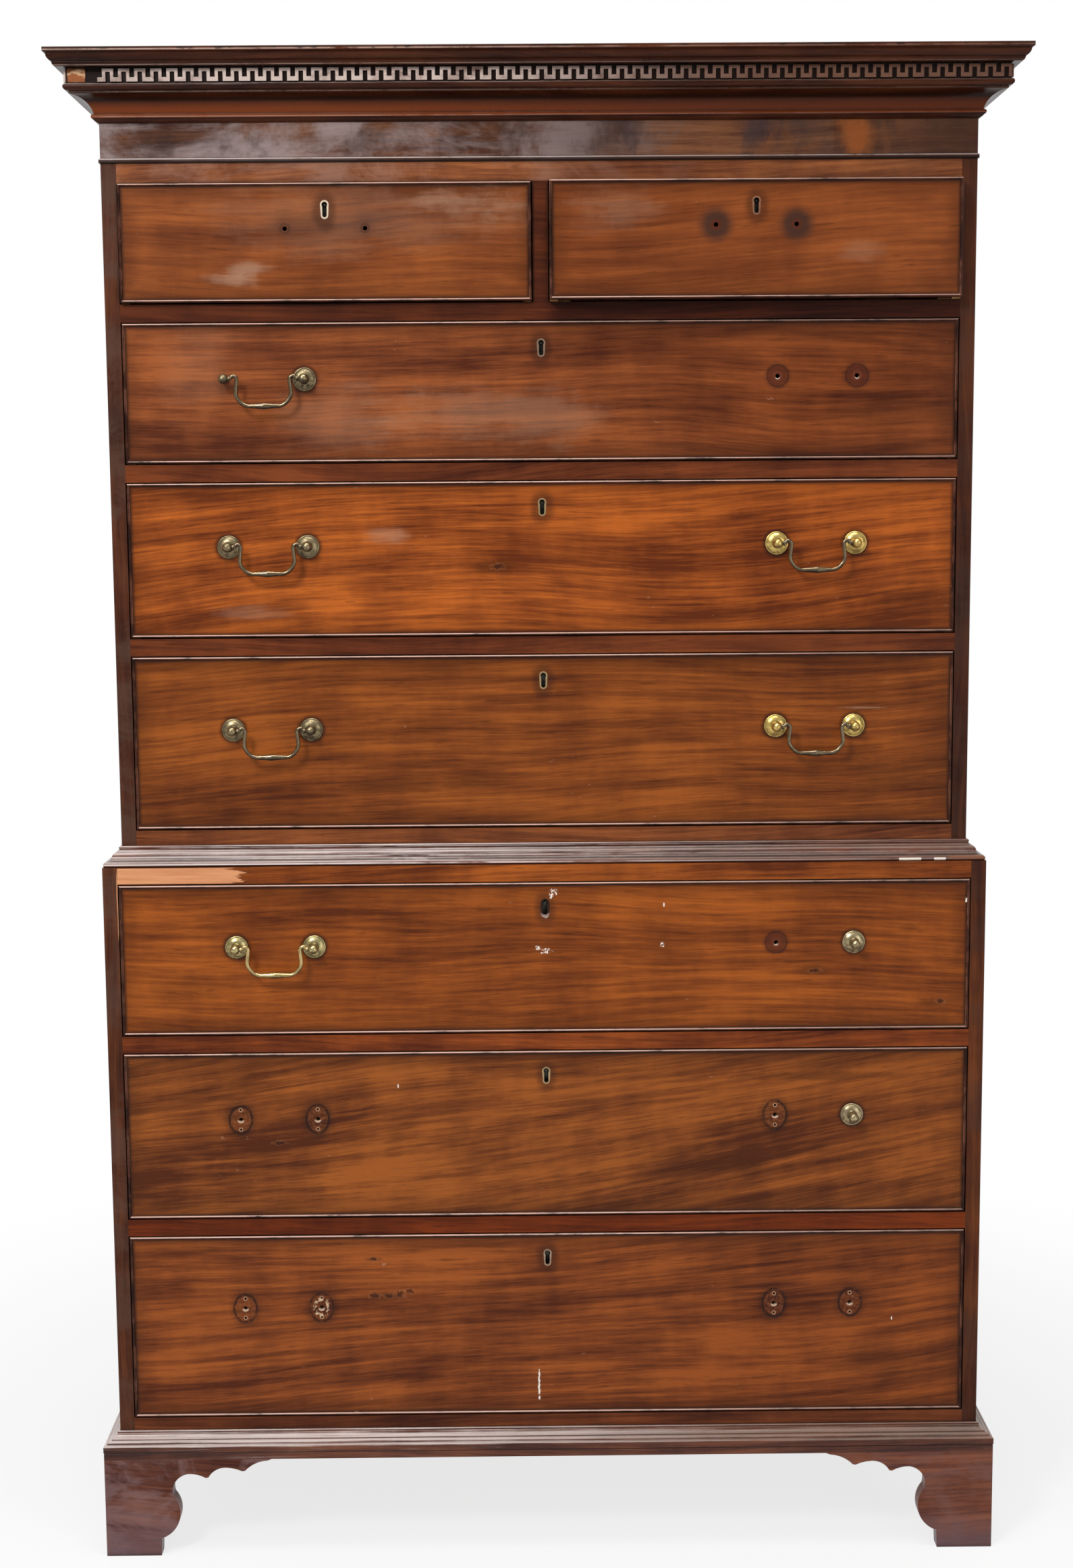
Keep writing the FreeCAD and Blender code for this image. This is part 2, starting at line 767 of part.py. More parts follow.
def drawer_front_board(drawer):
    """The front board, rebated for the beads and the sides and bored for its fittings."""
    face, back = drawer.face_y, drawer.face_y + front_thickness
    board = block(drawer.left, drawer.right, face, back, drawer.bottom, drawer.top)
    ring = block(drawer.left, drawer.right, face, face + bead_depth, drawer.bottom, drawer.top)
    ring = ring.cut(block(drawer.left + bead_width, drawer.right - bead_width,
                          face, face + bead_depth,
                          drawer.bottom + bead_width, drawer.top - bead_width))
    cuts = [ring, lock_space(drawer, lock_clearance),
            plate_body(drawer, face, face + plate_depth, plate_clearance),
            keyhole(drawer, face, back)]
    for x0, x1 in ((drawer.left, drawer.left + drawer_side_thickness),
                   (drawer.right - drawer_side_thickness, drawer.right)):
        cuts.append(block(x0, x1, back - drawer_side_lap, back,
                          drawer.side_bottom, drawer.side_top))
    cuts.append(block(drawer.left + drawer_side_thickness, drawer.right - drawer_side_thickness,
                      back - drawer_bottom_groove, back,
                      drawer.panel_z, drawer.panel_z + drawer_bottom_thickness))
    for x, kind in post_places(drawer):
        cuts.append(rod(post_hole_radius, V(x, face, drawer.pull_z), V(0, 1, 0),
                        front_thickness))
        if kind == "plate":
            for z in (drawer.pull_z - nail_hole_offset, drawer.pull_z + nail_hole_offset):
                cuts.append(rod(nail_hole_radius, V(x, face, z), V(0, 1, 0), nail_hole_depth))
    return one_solid(board.cut(cuts))


def cock_beads(drawer):
    """Four nosed strips let in round the drawer front, mitred at the corners."""
    radius = bead_width / 2
    nose = drawer.face_y - bead_proud
    flat = nose + radius
    back = drawer.face_y + bead_depth
    middle_x = (drawer.left + drawer.right) / 2
    middle_z = (drawer.bottom + drawer.top) / 2
    half_x = (drawer.right - drawer.left) / 2
    half_z = (drawer.top - drawer.bottom) / 2
    beads = []
    for along_x in (True, False):
        for sign in (-1, 1):
            half = half_z if along_x else half_x
            length = half_x if along_x else half_z

            def place(u, y):
                offset = sign * (half - u)
                if along_x:
                    return V(middle_x - length, y, middle_z + offset)
                return V(middle_x + offset, y, middle_z - length)

            section = outline(place, (0.0, back), [
                (0.0, flat), ((radius, nose), (bead_width, flat)), (bead_width, back)])
            run = V(2 * length, 0, 0) if along_x else V(0, 0, 2 * length)
            strip = section.extrude(run)
            beads.append(mitred_strip(strip, middle_x, middle_z, half_x, half_z,
                                      along_x, sign, nose - 1.0, back + 1.0))
    return beads


def mitred_strip(strip, middle_x, middle_z, half_x, half_z, along_x, sign, y0, y1):
    """The part of a bead between its two mitres."""
    inset = 2 * bead_width
    if along_x:
        corners = [(-half_x, sign * half_z), (half_x, sign * half_z),
                   (half_x - inset, sign * (half_z - inset)),
                   (-half_x + inset, sign * (half_z - inset))]
    else:
        corners = [(sign * half_x, -half_z), (sign * half_x, half_z),
                   (sign * (half_x - inset), half_z - inset),
                   (sign * (half_x - inset), -half_z + inset)]
    points = [V(middle_x + x, y0, middle_z + z) for x, z in corners]
    wedge = Part.Face(Part.makePolygon(points + points[:1])).extrude(V(0, y1 - y0, 0))
    return strip.common(wedge).Solids[0]


def drawer_box(drawer):
    """Sides, back, bottom and the two strips that the drawer runs on."""
    front_back = drawer.face_y + front_thickness
    inner_left = drawer.left + drawer_side_thickness
    inner_right = drawer.right - drawer_side_thickness
    panel_top = drawer.panel_z + drawer_bottom_thickness
    pieces = []
    for x0, x1, strip_x in ((drawer.left, inner_left, inner_left + drawer_strip_width),
                            (inner_right, drawer.right, inner_right - drawer_strip_width)):
        pieces.append(block(x0, x1, front_back - drawer_side_lap, drawer.end_y,
                            drawer.side_bottom, drawer.side_top))
        inner_x = x1 if x0 == drawer.left else x0
        pieces.append(block(inner_x, strip_x, front_back, drawer.end_y,
                            drawer.side_bottom, drawer.panel_z))
    pieces.append(block(inner_left, inner_right, front_back - drawer_bottom_groove, drawer.end_y,
                        drawer.panel_z, panel_top))
    pieces.append(block(inner_left, inner_right, drawer.end_y - drawer_back_thickness,
                        drawer.end_y, panel_top, drawer.side_top - drawer_back_drop))
    return pieces


def bolt_slot(drawer, clearance, bottom, top):
    """The space of the lock's bolt, with a clearance round it."""
    y = drawer.face_y + bolt_face_distance
    return block(drawer.middle_x - bolt_width / 2 - clearance,
                 drawer.middle_x + bolt_width / 2 + clearance,
                 y - clearance, y + bolt_thickness + clearance, bottom, top)


def lock_case(drawer):
    """The lock, let in flush, with the bolt's channel, the key's way and its pin."""
    channel_bottom = drawer.top - bolt_height - bolt_clearance
    case = lock_space(drawer)
    case = case.cut(bolt_slot(drawer, bolt_clearance, channel_bottom, drawer.top))
    key_end = drawer.face_y + bolt_face_distance + bolt_thickness
    case = case.cut(keyhole(drawer, drawer.face_y, key_end))
    pin_end = drawer.face_y + key_pin_reach
    pin = rod(key_pin_radius, V(drawer.middle_x, pin_end, drawer.key_z), V(0, 1, 0),
              key_end + 1.0 - pin_end)
    return one_solid(case.fuse(pin))


def lock_bolt(drawer):
    """The bolt, down in its lock."""
    return bolt_slot(drawer, 0.0, drawer.top - bolt_height, drawer.top)


def escutcheon(drawer):
    """The brass thread round the keyhole, let into the front."""
    y0, y1 = drawer.face_y - plate_proud, drawer.face_y + plate_depth
    return one_solid(plate_body(drawer, y0, y1).cut(keyhole(drawer, y0, y1)))


def rose(x, face_y, z):
    """A turned rose on the drawer's face, bored for the post's shank."""
    steps = [(rose_radius, 0.0), (rose_radius, rose_rim * 0.6)]
    steps += section_steps(rose_rim_section, rose_radius, rose_rim, -1.0)
    steps.append((rose_hub_radius + rose_hub_step[0], rose_rim + rose_hub_step[1]))
    steps += [((rose_hub_radius + rose_hub_arc[0], rose_rim + rose_hub_arc[1]),
               (rose_hub_radius, rose_hub_height)),
              (shank_radius, rose_hub_height)]
    profile = outline(lambda r, d: V(x + r, face_y - d, z), (shank_radius, 0.0), steps)
    return turned(profile, V(x, 0, z), V(0, 1, 0))


def post(x, face_y, z, has_hole_towards, seat):
    """A ball-headed post: its shank goes through the front, its ball holds a bail's pin."""
    centre = V(x, face_y - ball_distance, z)
    shank = rod(shank_radius, V(x, face_y - seat, z), V(0, 1, 0),
                seat + front_thickness + nut_thickness + shank_end)
    neck = rod(neck_radius, V(x, face_y - ball_distance, z), V(0, 1, 0), ball_distance - seat)
    body = Part.makeSphere(ball_radius, centre).fuse([shank, neck])
    towards = V(has_hole_towards, 0, 0)
    hole_start = centre + towards * (ball_radius - pin_hole_depth)
    body = body.cut(rod(pin_hole_radius, hole_start, towards, pin_hole_depth + 1.0))
    return one_solid(body)


def nut(x, face_y, z):
    """The round nut inside the drawer."""
    start = V(x, face_y + front_thickness, z)
    body = rod(nut_radius, start, V(0, 1, 0), nut_thickness)
    return body.cut(rod(shank_radius, start, V(0, 1, 0), nut_thickness))


def fittings(drawer):
    """The lock, the escutcheon and what is left of the handles' roses, posts and nuts."""
    pieces = [lock_case(drawer)]
    if drawer.has_plate:
        pieces.append(escutcheon(drawer))
    for index, (x, kind) in enumerate(post_places(drawer)):
        if kind in ("rose", "post"):
            towards_bail = 1 if index % 2 == 0 else -1
            seat = rose_hub_height if kind == "rose" else 0.0
            pieces.append(post(x, drawer.face_y, drawer.pull_z, towards_bail, seat))
            pieces.append(nut(x, drawer.face_y, drawer.pull_z))
        if kind == "rose":
            pieces.append(rose(x, drawer.face_y, drawer.pull_z))
    return pieces


def bail(drawer, middle_x):
    """A swan-neck bail hanging between its posts, swelling to the middle of its grip."""
    y = drawer.face_y - ball_distance
    z = drawer.pull_z
    half = pull_spacing / 2
    ball_side = half - ball_radius
    collar_outer = ball_side - collar_gap
    collar_inner = collar_outer - collar_length
    half_path = [(collar_inner, 0.0),
                 (half - neck_inset, neck_rise),
                 (half - arm_inset - neck_lean, neck_rise / 3),
                 (half - arm_inset, -arm_drop),
                 (half - shoulder_inset, -grip_drop)]
    both = half_path + [(-u, v) for u, v in half_path[::-1]]
    path = rounded_wire([V(middle_x + u, y, z + v) for u, v in both], arm_bend)
    section = Part.Wire(Part.makeCircle(arm_radius, path.Edges[0].Vertexes[0].Point,
                                        path.Edges[0].tangentAt(0.0)))
    arms = path.makePipeShell([section], True, True)
    grip_z = z - grip_drop
    grip = outline(lambda u, r: V(middle_x + u, y, grip_z + r), (-grip_half_length, 0.0), [
        (-grip_half_length, arm_radius),
        (-grip_swell_x, grip_swell_radius),
        (0.0, grip_middle_radius),
        (grip_swell_x, grip_swell_radius),
        (grip_half_length, arm_radius),
        (grip_half_length, 0.0)])
    grip = turned(grip, V(middle_x, y, grip_z), V(1, 0, 0))
    extras = [grip]
    pin_length = pin_hole_depth - pin_end_clearance + collar_gap + collar_length
    for sign in (-1, 1):
        inner = V(middle_x + sign * collar_inner, y, z)
        extras.append(rod(collar_radius, inner, V(sign, 0, 0), collar_length))
        extras.append(rod(pin_radius, inner, V(sign, 0, 0), pin_length))
    return one_solid(arms.fuse(extras))


# ---------------------------------------------------------------- the nodes
def build_nodes():
    """Every node's name and its solids."""
    nodes = {
        "cornice_moulding": cornice_moulding(),
        "greek_key_fret": greek_key(),
        "frieze_frame": frieze_frame(),
        "cornice_top_board": [cornice_top()],
        "waist_moulding": waist_moulding(),
        "base_moulding": base_moulding(),
        "front_feet": front_foot(-1) + front_foot(1),
        "rear_feet": rear_foot(-1) + rear_foot(1),
    }
    for case in (upper, lower):
        nodes[case.name + "_left_side"] = [side_board(case, -1)]
        nodes[case.name + "_right_side"] = [side_board(case, 1)]
        nodes[case.name + "_top_board"] = [top_board(case)]
        nodes[case.name + "_bottom_board"] = bottom_boards(case)
        nodes[case.name + "_back_boards"] = back_boards(case)
        nodes[case.name + "_drawer_rails"] = drawer_rails(case)
        nodes[case.name + "_dustboards"] = dustboards(case, case is upper) + drawer_stops(case)
    nodes["upper_drawer_rails"].append(short_drawer_muntin())
    for drawer in drawers:
        nodes[drawer.name + "_front"] = [drawer_front_board(drawer)] + cock_beads(drawer)
        nodes[drawer.name + "_box"] = drawer_box(drawer)
        nodes[drawer.name + "_hardware"] = fittings(drawer)
        nodes[drawer.name + "_lock_bolt"] = [lock_bolt(drawer)]
        for middle_x, _, _, has_bail in drawer.pulls:
            if has_bail:
                side = "left" if middle_x < 0 else "right"
                nodes[drawer.name + "_bail_" + side] = [bail(drawer, middle_x)]
    return nodes


os.makedirs("parts", exist_ok=True)
all_nodes = build_nodes()
total = Part.makeCompound([solid for solids in all_nodes.values() for solid in solids])
box = total.BoundBox
for node_name, solids in all_nodes.items():
    for solid in solids:
        if not solid.isValid() or solid.Volume <= 0:
            print("BAD solid in", node_name)
    Part.makeCompound(solids).exportStep("parts/" + node_name + ".step")
print("nodes", len(all_nodes), "solids", len(total.Solids))
print("overall x %.1f..%.1f y %.1f..%.1f z %.1f..%.1f"
      % (box.XMin, box.XMax, box.YMin, box.YMax, box.ZMin, box.ZMax))
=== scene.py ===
"""A Georgian mahogany chest on chest: its materials, light and camera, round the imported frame."""
import math

import bpy
from mathutils import Matrix, Vector


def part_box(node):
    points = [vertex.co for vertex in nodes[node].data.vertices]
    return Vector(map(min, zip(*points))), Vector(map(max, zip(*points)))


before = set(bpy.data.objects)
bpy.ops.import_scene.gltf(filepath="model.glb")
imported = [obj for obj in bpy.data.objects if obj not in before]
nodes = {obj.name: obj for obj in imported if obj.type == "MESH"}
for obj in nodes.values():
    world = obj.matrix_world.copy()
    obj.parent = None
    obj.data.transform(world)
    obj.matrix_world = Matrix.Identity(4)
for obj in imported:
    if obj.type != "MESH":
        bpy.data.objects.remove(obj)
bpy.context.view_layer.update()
scene = bpy.context.scene

# Sizes of the part that the finishes follow, in metres
UPPER_CORNER = (0.5285, -0.242)  # half the width and the front of the upper chest
LOWER_CORNER = (0.550, -0.2635)  # and of the lower one; the mitres start there
LONG_PULL_X = 0.337  # a handle's middle on a long drawer
SHORT_PULL_X = 0.25975  # and on a short one
HALF_PULL = 0.0485  # half the distance between a handle's posts
POST_HOLE = 0.0028  # radius
BEAD_PROUD = 0.002  # how far the cockbeads stand in front of their board
BEAD_WIDTH = 0.003
KEYHOLE_DROP = 0.0325  # from a drawer front's top
LOCK_HALF = 0.036  # half a lock's width
SIDE_THICK = 0.0101  # just over a drawer side's 10 mm
BACK_THICK = 0.0092  # just over its back's 9 mm
BACK_BOARDS = 5  # in each chest's back
JOINT_GAP = 0.0008  # between them


# ---------------------------------------------------------------- colours and node graphs
def rgb(red, green, blue):
    """A screen colour from 0 to 255 as a linear one."""
    def linear(value):
        value /= 255
        return value / 12.92 if value <= 0.04045 else ((value + 0.055) / 1.055) ** 2.4
    return (linear(red), linear(green), linear(blue), 1.0)


WHITE = (1.0, 1.0, 1.0, 1.0)


class Graph:
    """The nodes of a material or the world, with short names for what finishes are made of."""

    def __init__(self, name, world=None):
        self.owner = world or bpy.data.materials.new(name)
        self.owner.use_nodes = True
        self.tree = self.owner.node_tree
        self.tree.nodes.clear()
        coordinates = self.add("ShaderNodeTexCoord")
        self.place = coordinates.outputs["Generated" if world else "Object"]
        self.x, self.y, self.z = self.split(self.place)

    def add(self, kind, **settings):
        node = self.tree.nodes.new(kind)
        for key, value in settings.items():
            setattr(node, key, value)
        return node

    def feed(self, socket, value):
        if isinstance(value, bpy.types.NodeSocket):
            self.tree.links.new(value, socket)
        else:
            socket.default_value = value

    def run(self, kind, *values, **settings):
        """The first output of a new node whose first inputs take these values."""
        node = self.add("ShaderNode" + kind, **settings)
        for socket, value in zip(node.inputs, values):
            self.feed(socket, value)
        return node.outputs[0]

    def split(self, vector):
        node = self.add("ShaderNodeSeparateXYZ")
        self.feed(node.inputs[0], vector)
        return node.outputs[0], node.outputs[1], node.outputs[2]

    def join(self, x, y, z):
        return self.run("CombineXYZ", x, y, z)

    def math(self, operation, a, b=0.0, c=0.0):
        return self.run("Math", a, b, c, operation=operation)

    def fold(self, operation, terms):
        total = terms[0]
        for term in terms[1:]:
            total = self.math(operation, total, term)
        return total

    def plus(self, *terms):
        return self.fold("ADD", terms)

    def times(self, *terms):
        return self.fold("MULTIPLY", terms)

    def least(self, *terms):
        return self.fold("MINIMUM", terms)

    def most(self, *terms):
        return self.fold("MAXIMUM", terms)

    def minus(self, a, b):
        return self.math("SUBTRACT", a, b)

    def off(self, value, place):
        """How far the value is from a place, either way."""
        return self.math("ABSOLUTE", self.minus(value, place))

    def pick(self, mask, inside, outside):
        """One value where the mask is 1, and another where it is 0."""
        return self.plus(self.times(inside, mask), self.times(outside, self.minus(1.0, mask)))

    def turned(self, direction):
        """The coordinates along, across and up, where the grain runs along an axis."""
        x, y, z = self.x, self.y, self.z
        return {"X": (x, y, z), "Y": (y, x, z), "Z": (z, y, x)}[direction]

    def centred(self, value, gain):
        """gain times how far a noise is from its middle."""
        return self.math("MULTIPLY_ADD", value, gain, -gain / 2)

    def step(self, value, low, high):
        """0 below low and 1 above high, smooth between; the other way round if high < low."""
        ends = (low, high, 0.0, 1.0) if low < high else (high, low, 1.0, 0.0)
        return self.run("MapRange", value, *ends, interpolation_type="SMOOTHSTEP")

    def between(self, value, low, high, soft):
        """1 between low and high, fading over soft inside them."""
        return self.times(self.step(value, low, low + soft), self.step(value, high, high - soft))

    def noise(self, vector, scale=1.0, detail=2.0, roughness=0.5, distortion=0.0):
        node = self.add("ShaderNodeTexNoise")
        for key, value in (("Vector", vector), ("Scale", scale), ("Detail", detail),
                           ("Roughness", roughness), ("Distortion", distortion)):
            self.feed(node.inputs[key], value)
        return node.outputs[0]

    def stretched(self, vector, scales, **settings):
        """Noise of a vector whose parts are scaled one by one."""
        parts = self.split(vector)
        return self.noise(self.join(*[self.times(part, scale)
                                      for part, scale in zip(parts, scales)]), **settings)

    def mix(self, share, a, b, blend="MIX"):
        """From a to b by the share, which may be several that are multiplied."""
        node = self.add("ShaderNodeMix", data_type="RGBA", blend_type=blend)
        self.feed(node.inputs[0], self.times(*share) if isinstance(share, tuple) else share)
        self.feed(node.inputs[6], a)
        self.feed(node.inputs[7], b)
        return node.outputs[2]

    def ramp(self, value, *stops):
        node = self.add("ShaderNodeValToRGB")
        elements = node.color_ramp.elements
        while len(elements) < len(stops):
            elements.new(1.0)
        for element, (place, colour) in zip(elements, stops):
            element.position = place
            element.color = colour
        self.feed(node.inputs[0], value)
        return node.outputs[0]

    def bump(self, height, distance, strength=1.0, normal=None):
        node = self.add("ShaderNodeBump")
        self.feed(node.inputs["Strength"], strength)
        self.feed(node.inputs["Distance"], distance)
        self.feed(node.inputs["Height"], height)
        if normal is not None:
            self.feed(node.inputs["Normal"], normal)
        return node.outputs[0]

    def bevel(self, radius):
        return self.run("Bevel", radius, samples=4)

    def occlusion(self, distance):
        """1 in the open and 0 deep in a corner."""
        node = self.add("ShaderNodeAmbientOcclusion", samples=6)
        self.feed(node.inputs["Distance"], distance)
        return node.outputs["AO"]

    def facing(self):
        """The true normal's parts, which are the part's own while its body is at rest."""
        return self.split(self.add("ShaderNodeNewGeometry").outputs["Normal"])

    def ellipse(self, x0, z0, half_x, half_z):
        """Distance from (x0, z0) on the front, which is 1 on the ellipse."""
        dx = self.math("MULTIPLY_ADD", self.x, 1 / half_x, -x0 / half_x)
        dz = self.math("MULTIPLY_ADD", self.z, 1 / half_z, -z0 / half_z)
        return self.math("SQRT", self.plus(self.times(dx, dx), self.times(dz, dz)))

    def finish(self, colour, roughness, normal=None, metallic=0.0, specular=0.5,
               coat=0.0, coat_roughness=0.2):
        shader = self.add("ShaderNodeBsdfPrincipled")
        self.feed(shader.inputs["Base Color"], colour)
        self.feed(shader.inputs["Roughness"], roughness)
        self.feed(shader.inputs["Metallic"], metallic)
        shader.inputs["Specular IOR Level"].default_value = specular
        shader.inputs["Coat Weight"].default_value = coat
        shader.inputs["Coat Roughness"].default_value = coat_roughness
        if normal is not None:
            self.feed(shader.inputs["Normal"], normal)
        return self.output(shader.outputs[0])

    def output(self, shader, kind="Material"):
        self.feed(self.add("ShaderNodeOutput" + kind).inputs[0], shader)
        return self.owner


# ---------------------------------------------------------------- wood
def grain(g, along, across, up, seed, flow=1.0, slope=0.0):
    """Mahogany's figure: bands, streaks, flecks and pores. Gives tone, pores and height."""
    start = g.join(g.plus(along, seed * 1.37), g.plus(across, seed * 0.71),
                   g.plus(up, g.times(along, -slope), seed * 0.53))
    a, c, u = g.split(start)
    drift = g.stretched(start, (1.5, 3.0, 3.0), detail=1.0)
    u = g.plus(u, g.centred(drift, 0.09 * flow))
    flowing = g.join(a, c, u)
    ribbon = g.stretched(flowing, (1.8, 10.0, 16.0), detail=4.0, roughness=0.55)
    band = g.stretched(flowing, (3.6, 24.0, 56.0), detail=3.0, roughness=0.55, distortion=0.3)
    streak = g.stretched(flowing, (7.0, 80.0, 210.0), detail=5.0, roughness=0.66)
    fine = g.stretched(flowing, (26.0, 300.0, 640.0), detail=3.0, roughness=0.62)
    mottle = g.stretched(start, (15.0, 8.0, 8.0), detail=4.0, roughness=0.6)
    fleck = g.stretched(flowing, (26.0, 160.0, 260.0), detail=1.0)
    tone = g.plus(0.5, g.centred(ribbon, 1.2), g.centred(band, 1.40), g.centred(streak, 1.30),
                  g.centred(fine, 0.75), g.centred(mottle, 0.80))
    pores = g.most(g.step(fine, 0.60, 0.74), g.step(fleck, 0.67, 0.76))
    return tone, pores, g.plus(streak, g.times(fine, 0.7))


def tones(g, tone, dark, middle, light):
    """From dark to light wood as the tone goes from 0 to 1."""
    return g.ramp(tone, (0.08, dark), (0.5, middle), (0.92, light))


def shade(colour, *factors):
    """The colour times one factor, or times one for each of its parts."""
    factors = factors * 3 if len(factors) == 1 else factors
    return tuple(part * factor for part, factor in zip(colour, factors)) + (1.0,)


def wood_colour(g, tone, pores, middle):
    """Polished mahogany of one board: redder in its dark bands, yellower in its light ones."""
    colour = tones(g, tone, shade(middle, 0.42, 0.35, 0.42), middle,
                   shade(middle, 1.76, 1.86, 1.66))
    return g.mix((pores, 0.40), colour, shade(middle, 0.30))


def drawer_front(name, middle, seed, handles, spots=(), sheen_hazes=(), stains=(), pits=(),
                 figure=1.0, slope=0.0, right_shade=0.0, bare_key=False):
    """A drawer front: figured board, cockbeads, dirt and painted shade at the edges and the marks
    of handles.

    handles: (kind, x, z) of each post; spots: (x, z, half x, half z) of paint splashes;
    hazes: (x, z, half x, half z, strength) of pale dull patches, partly real haze in the polish
    and partly painted sheen; stains: the same, dark; pits: (x, z, half x, half z) of knots and
    gouges; figure: how strong the figure is; fade: how much darker the right end is, a painted
    light falloff; bare_key: whether the keyhole lost its thread.
    """
    low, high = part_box(name)
    face = low.y + BEAD_PROUD
    g = Graph(name + "_wood")
    tone, pores, height = grain(g, g.x, g.y, g.z, seed, slope=slope)
    blotch = g.noise(g.place, scale=3.6, detail=4.0, roughness=0.62)
    tone = g.math("MULTIPLY_ADD", tone, figure, 0.5 - 0.5 * figure)
    tone = g.plus(tone, g.centred(blotch, 1.0))
    board = wood_colour(g, tone, pores, middle)
    # Painted light falloff: the board is darker towards the right end
    if right_shade:
        board = g.mix((g.step(g.x, -0.20, 0.36), right_shade), board,
                      (0.74, 0.66, 0.56, 1.0), "MULTIPLY")
    cloud = g.noise(g.place, scale=14.0, detail=5.0, roughness=0.68)
    ragged = g.noise(g.place, scale=240.0, detail=4.0, roughness=0.66)
    grime_and_shade = rgb(40, 21, 13)
    roughness = g.plus(0.36, g.centred(cloud, 0.20), g.centred(height, -0.08))

    # Darkened polish along the edges, and dirt with painted shade in the corners beside the
    # cockbeads
    edge = g.least(g.minus(g.x, low.x), g.minus(high.x, g.x),
                   g.minus(g.z, low.z), g.minus(high.z, g.z))
    uneven = g.plus(edge, g.centred(cloud, -0.022))
    board = g.mix((g.step(uneven, 0.032, 0.003), 0.40), board, shade(middle, 0.33))
    board = g.mix((g.step(edge, 0.0080, 0.0030), 0.80), board, grime_and_shade)

    brushed = g.stretched(g.place, (9.0, 9.0, 90.0), detail=4.0, roughness=0.65)
    # Pale dull patches, partly real haze and partly painted sheen, and dark stains
    for patches, colour, dull in ((sheen_hazes, rgb(160, 124, 100), 0.25),
                                  (stains, shade(middle, 0.26), 0.0)):
        for x, z, half_x, half_z, strength in patches:
            distance = g.plus(g.ellipse(x, z, half_x, half_z), g.centred(cloud, 2.0),
                              g.centred(brushed, 1.6))
            share = g.times(g.step(distance, 1.15, 0.20), strength)
            board = g.mix(share, board, colour)
            if dull:
                roughness = g.plus(roughness, g.times(share, dull))

    depth = g.minus(g.y, face)
    side, _, upward = g.facing()
    # Painted shade: whatever lies behind the face, in the bores, the keyhole and the gaps, is
    # painted dark
    board = g.mix((g.step(depth, 0.0003, 0.0008), 0.6), board, rgb(110, 66, 40))
    board = g.mix((g.step(depth, 0.0010, 0.0045), 0.85), board, rgb(36, 20, 14))
    lit = g.times(g.step(upward, 0.25, 0.60), g.step(depth, 0.0110, 0.0080))
    for kind, x, z in handles:
        board, roughness = handle_mark(g, board, roughness, cloud, ragged, lit, kind, x, z)

    # Dark polish round the keyhole
    middle_x, key_z = (low.x + high.x) / 2, high.z - KEYHOLE_DROP
    keyhole = g.plus(g.ellipse(middle_x, key_z, 0.012, 0.019), g.centred(cloud, 0.8))
    board = g.mix((g.step(keyhole, 1.5, 0.7), 0.5), board, grime_and_shade)
    if bare_key:
        recess = g.plus(g.ellipse(middle_x, key_z, 0.0066, 0.0120), g.centred(ragged, 0.35))
        board = g.mix((g.step(recess, 1.10, 0.90), 0.8), board, rgb(52, 34, 27))
        lip = g.times(g.between(recess, 0.70, 1.08, 0.10), g.step(g.z, key_z - 0.005,
                                                                  key_z - 0.009))
        board = g.mix((lip, 0.75), board, rgb(176, 156, 146))

    for x, z, half_x, half_z in pits:
        distance = g.plus(g.ellipse(x, z, half_x, half_z), g.centred(ragged, 3.4),
                          g.centred(brushed, 1.0))
        board = g.mix((g.step(distance, 1.15, 0.45), 0.75), board, rgb(50, 24, 15))
        board = g.mix((g.between(distance, 0.90, 1.60, 0.3), 0.16), board,
                      rgb(176, 118, 78))
    speck = g.noise(g.place, scale=620.0, detail=2.0)
    for x, z, half_x, half_z in spots:
        distance = g.plus(g.ellipse(x, z, half_x, half_z), g.centred(ragged, 2.2))
        paint = g.step(distance, 0.85, 0.60)
        if half_x > 0.002:
            paint = g.times(g.step(distance, 1.15, 0.90), g.step(speck, 0.46, 0.54))
        board = g.mix(paint, board, rgb(232, 220, 208))

    # Scuffs: small pale scratches and dents scattered over the polish
    scuff = g.stretched(g.place, (60.0, 60.0, 150.0), detail=2.0, roughness=0.6)
    sparse = g.step(g.noise(g.place, scale=7.0, detail=2.0), 0.54, 0.70)
    board = g.mix((g.step(scuff, 0.71, 0.77), sparse, 0.45), board, rgb(186, 140, 112))

    # Cockbeads: a painted highlight, broken by wear, where their noses look up, fainter towards the
    # right as painted light falloff, and a fainter one on their sides
    bead = g.step(edge, BEAD_WIDTH + 0.00008, BEAD_WIDTH)
    worn = g.noise(g.join(g.times(g.x, 30.0), g.times(g.y, 240.0), g.times(g.z, 30.0)),
                   detail=5.0, roughness=0.7)
    nose = g.step(depth, 0.0, -0.0003)
    colour = g.mix(g.step(worn, 0.35, 0.7), rgb(34, 16, 11), rgb(82, 42, 27))
    bright = g.math("MULTIPLY_ADD", g.step(g.x, 0.0, 0.42), -0.45, 0.95)
    top_highlight = g.times(g.step(upward, 0.12, 0.36), nose, g.step(worn, 0.22, 0.50), bright)
    colour = g.mix(top_highlight, colour, rgb(206, 170, 154))
    side_highlight = g.times(g.step(g.math("ABSOLUTE", side), 0.30, 0.70), nose,
                          g.step(worn, 0.46, 0.62))
    colour = g.mix((side_highlight, 0.6), colour, rgb(142, 100, 80))
    board = g.mix(bead, board, colour)
    normal = g.bump(height, 0.0003, 0.45, g.bevel(0.0005))
    return g.finish(board, roughness, normal, specular=0.10, coat=0.05, coat_roughness=0.30)


HALO = rgb(34, 18, 13)
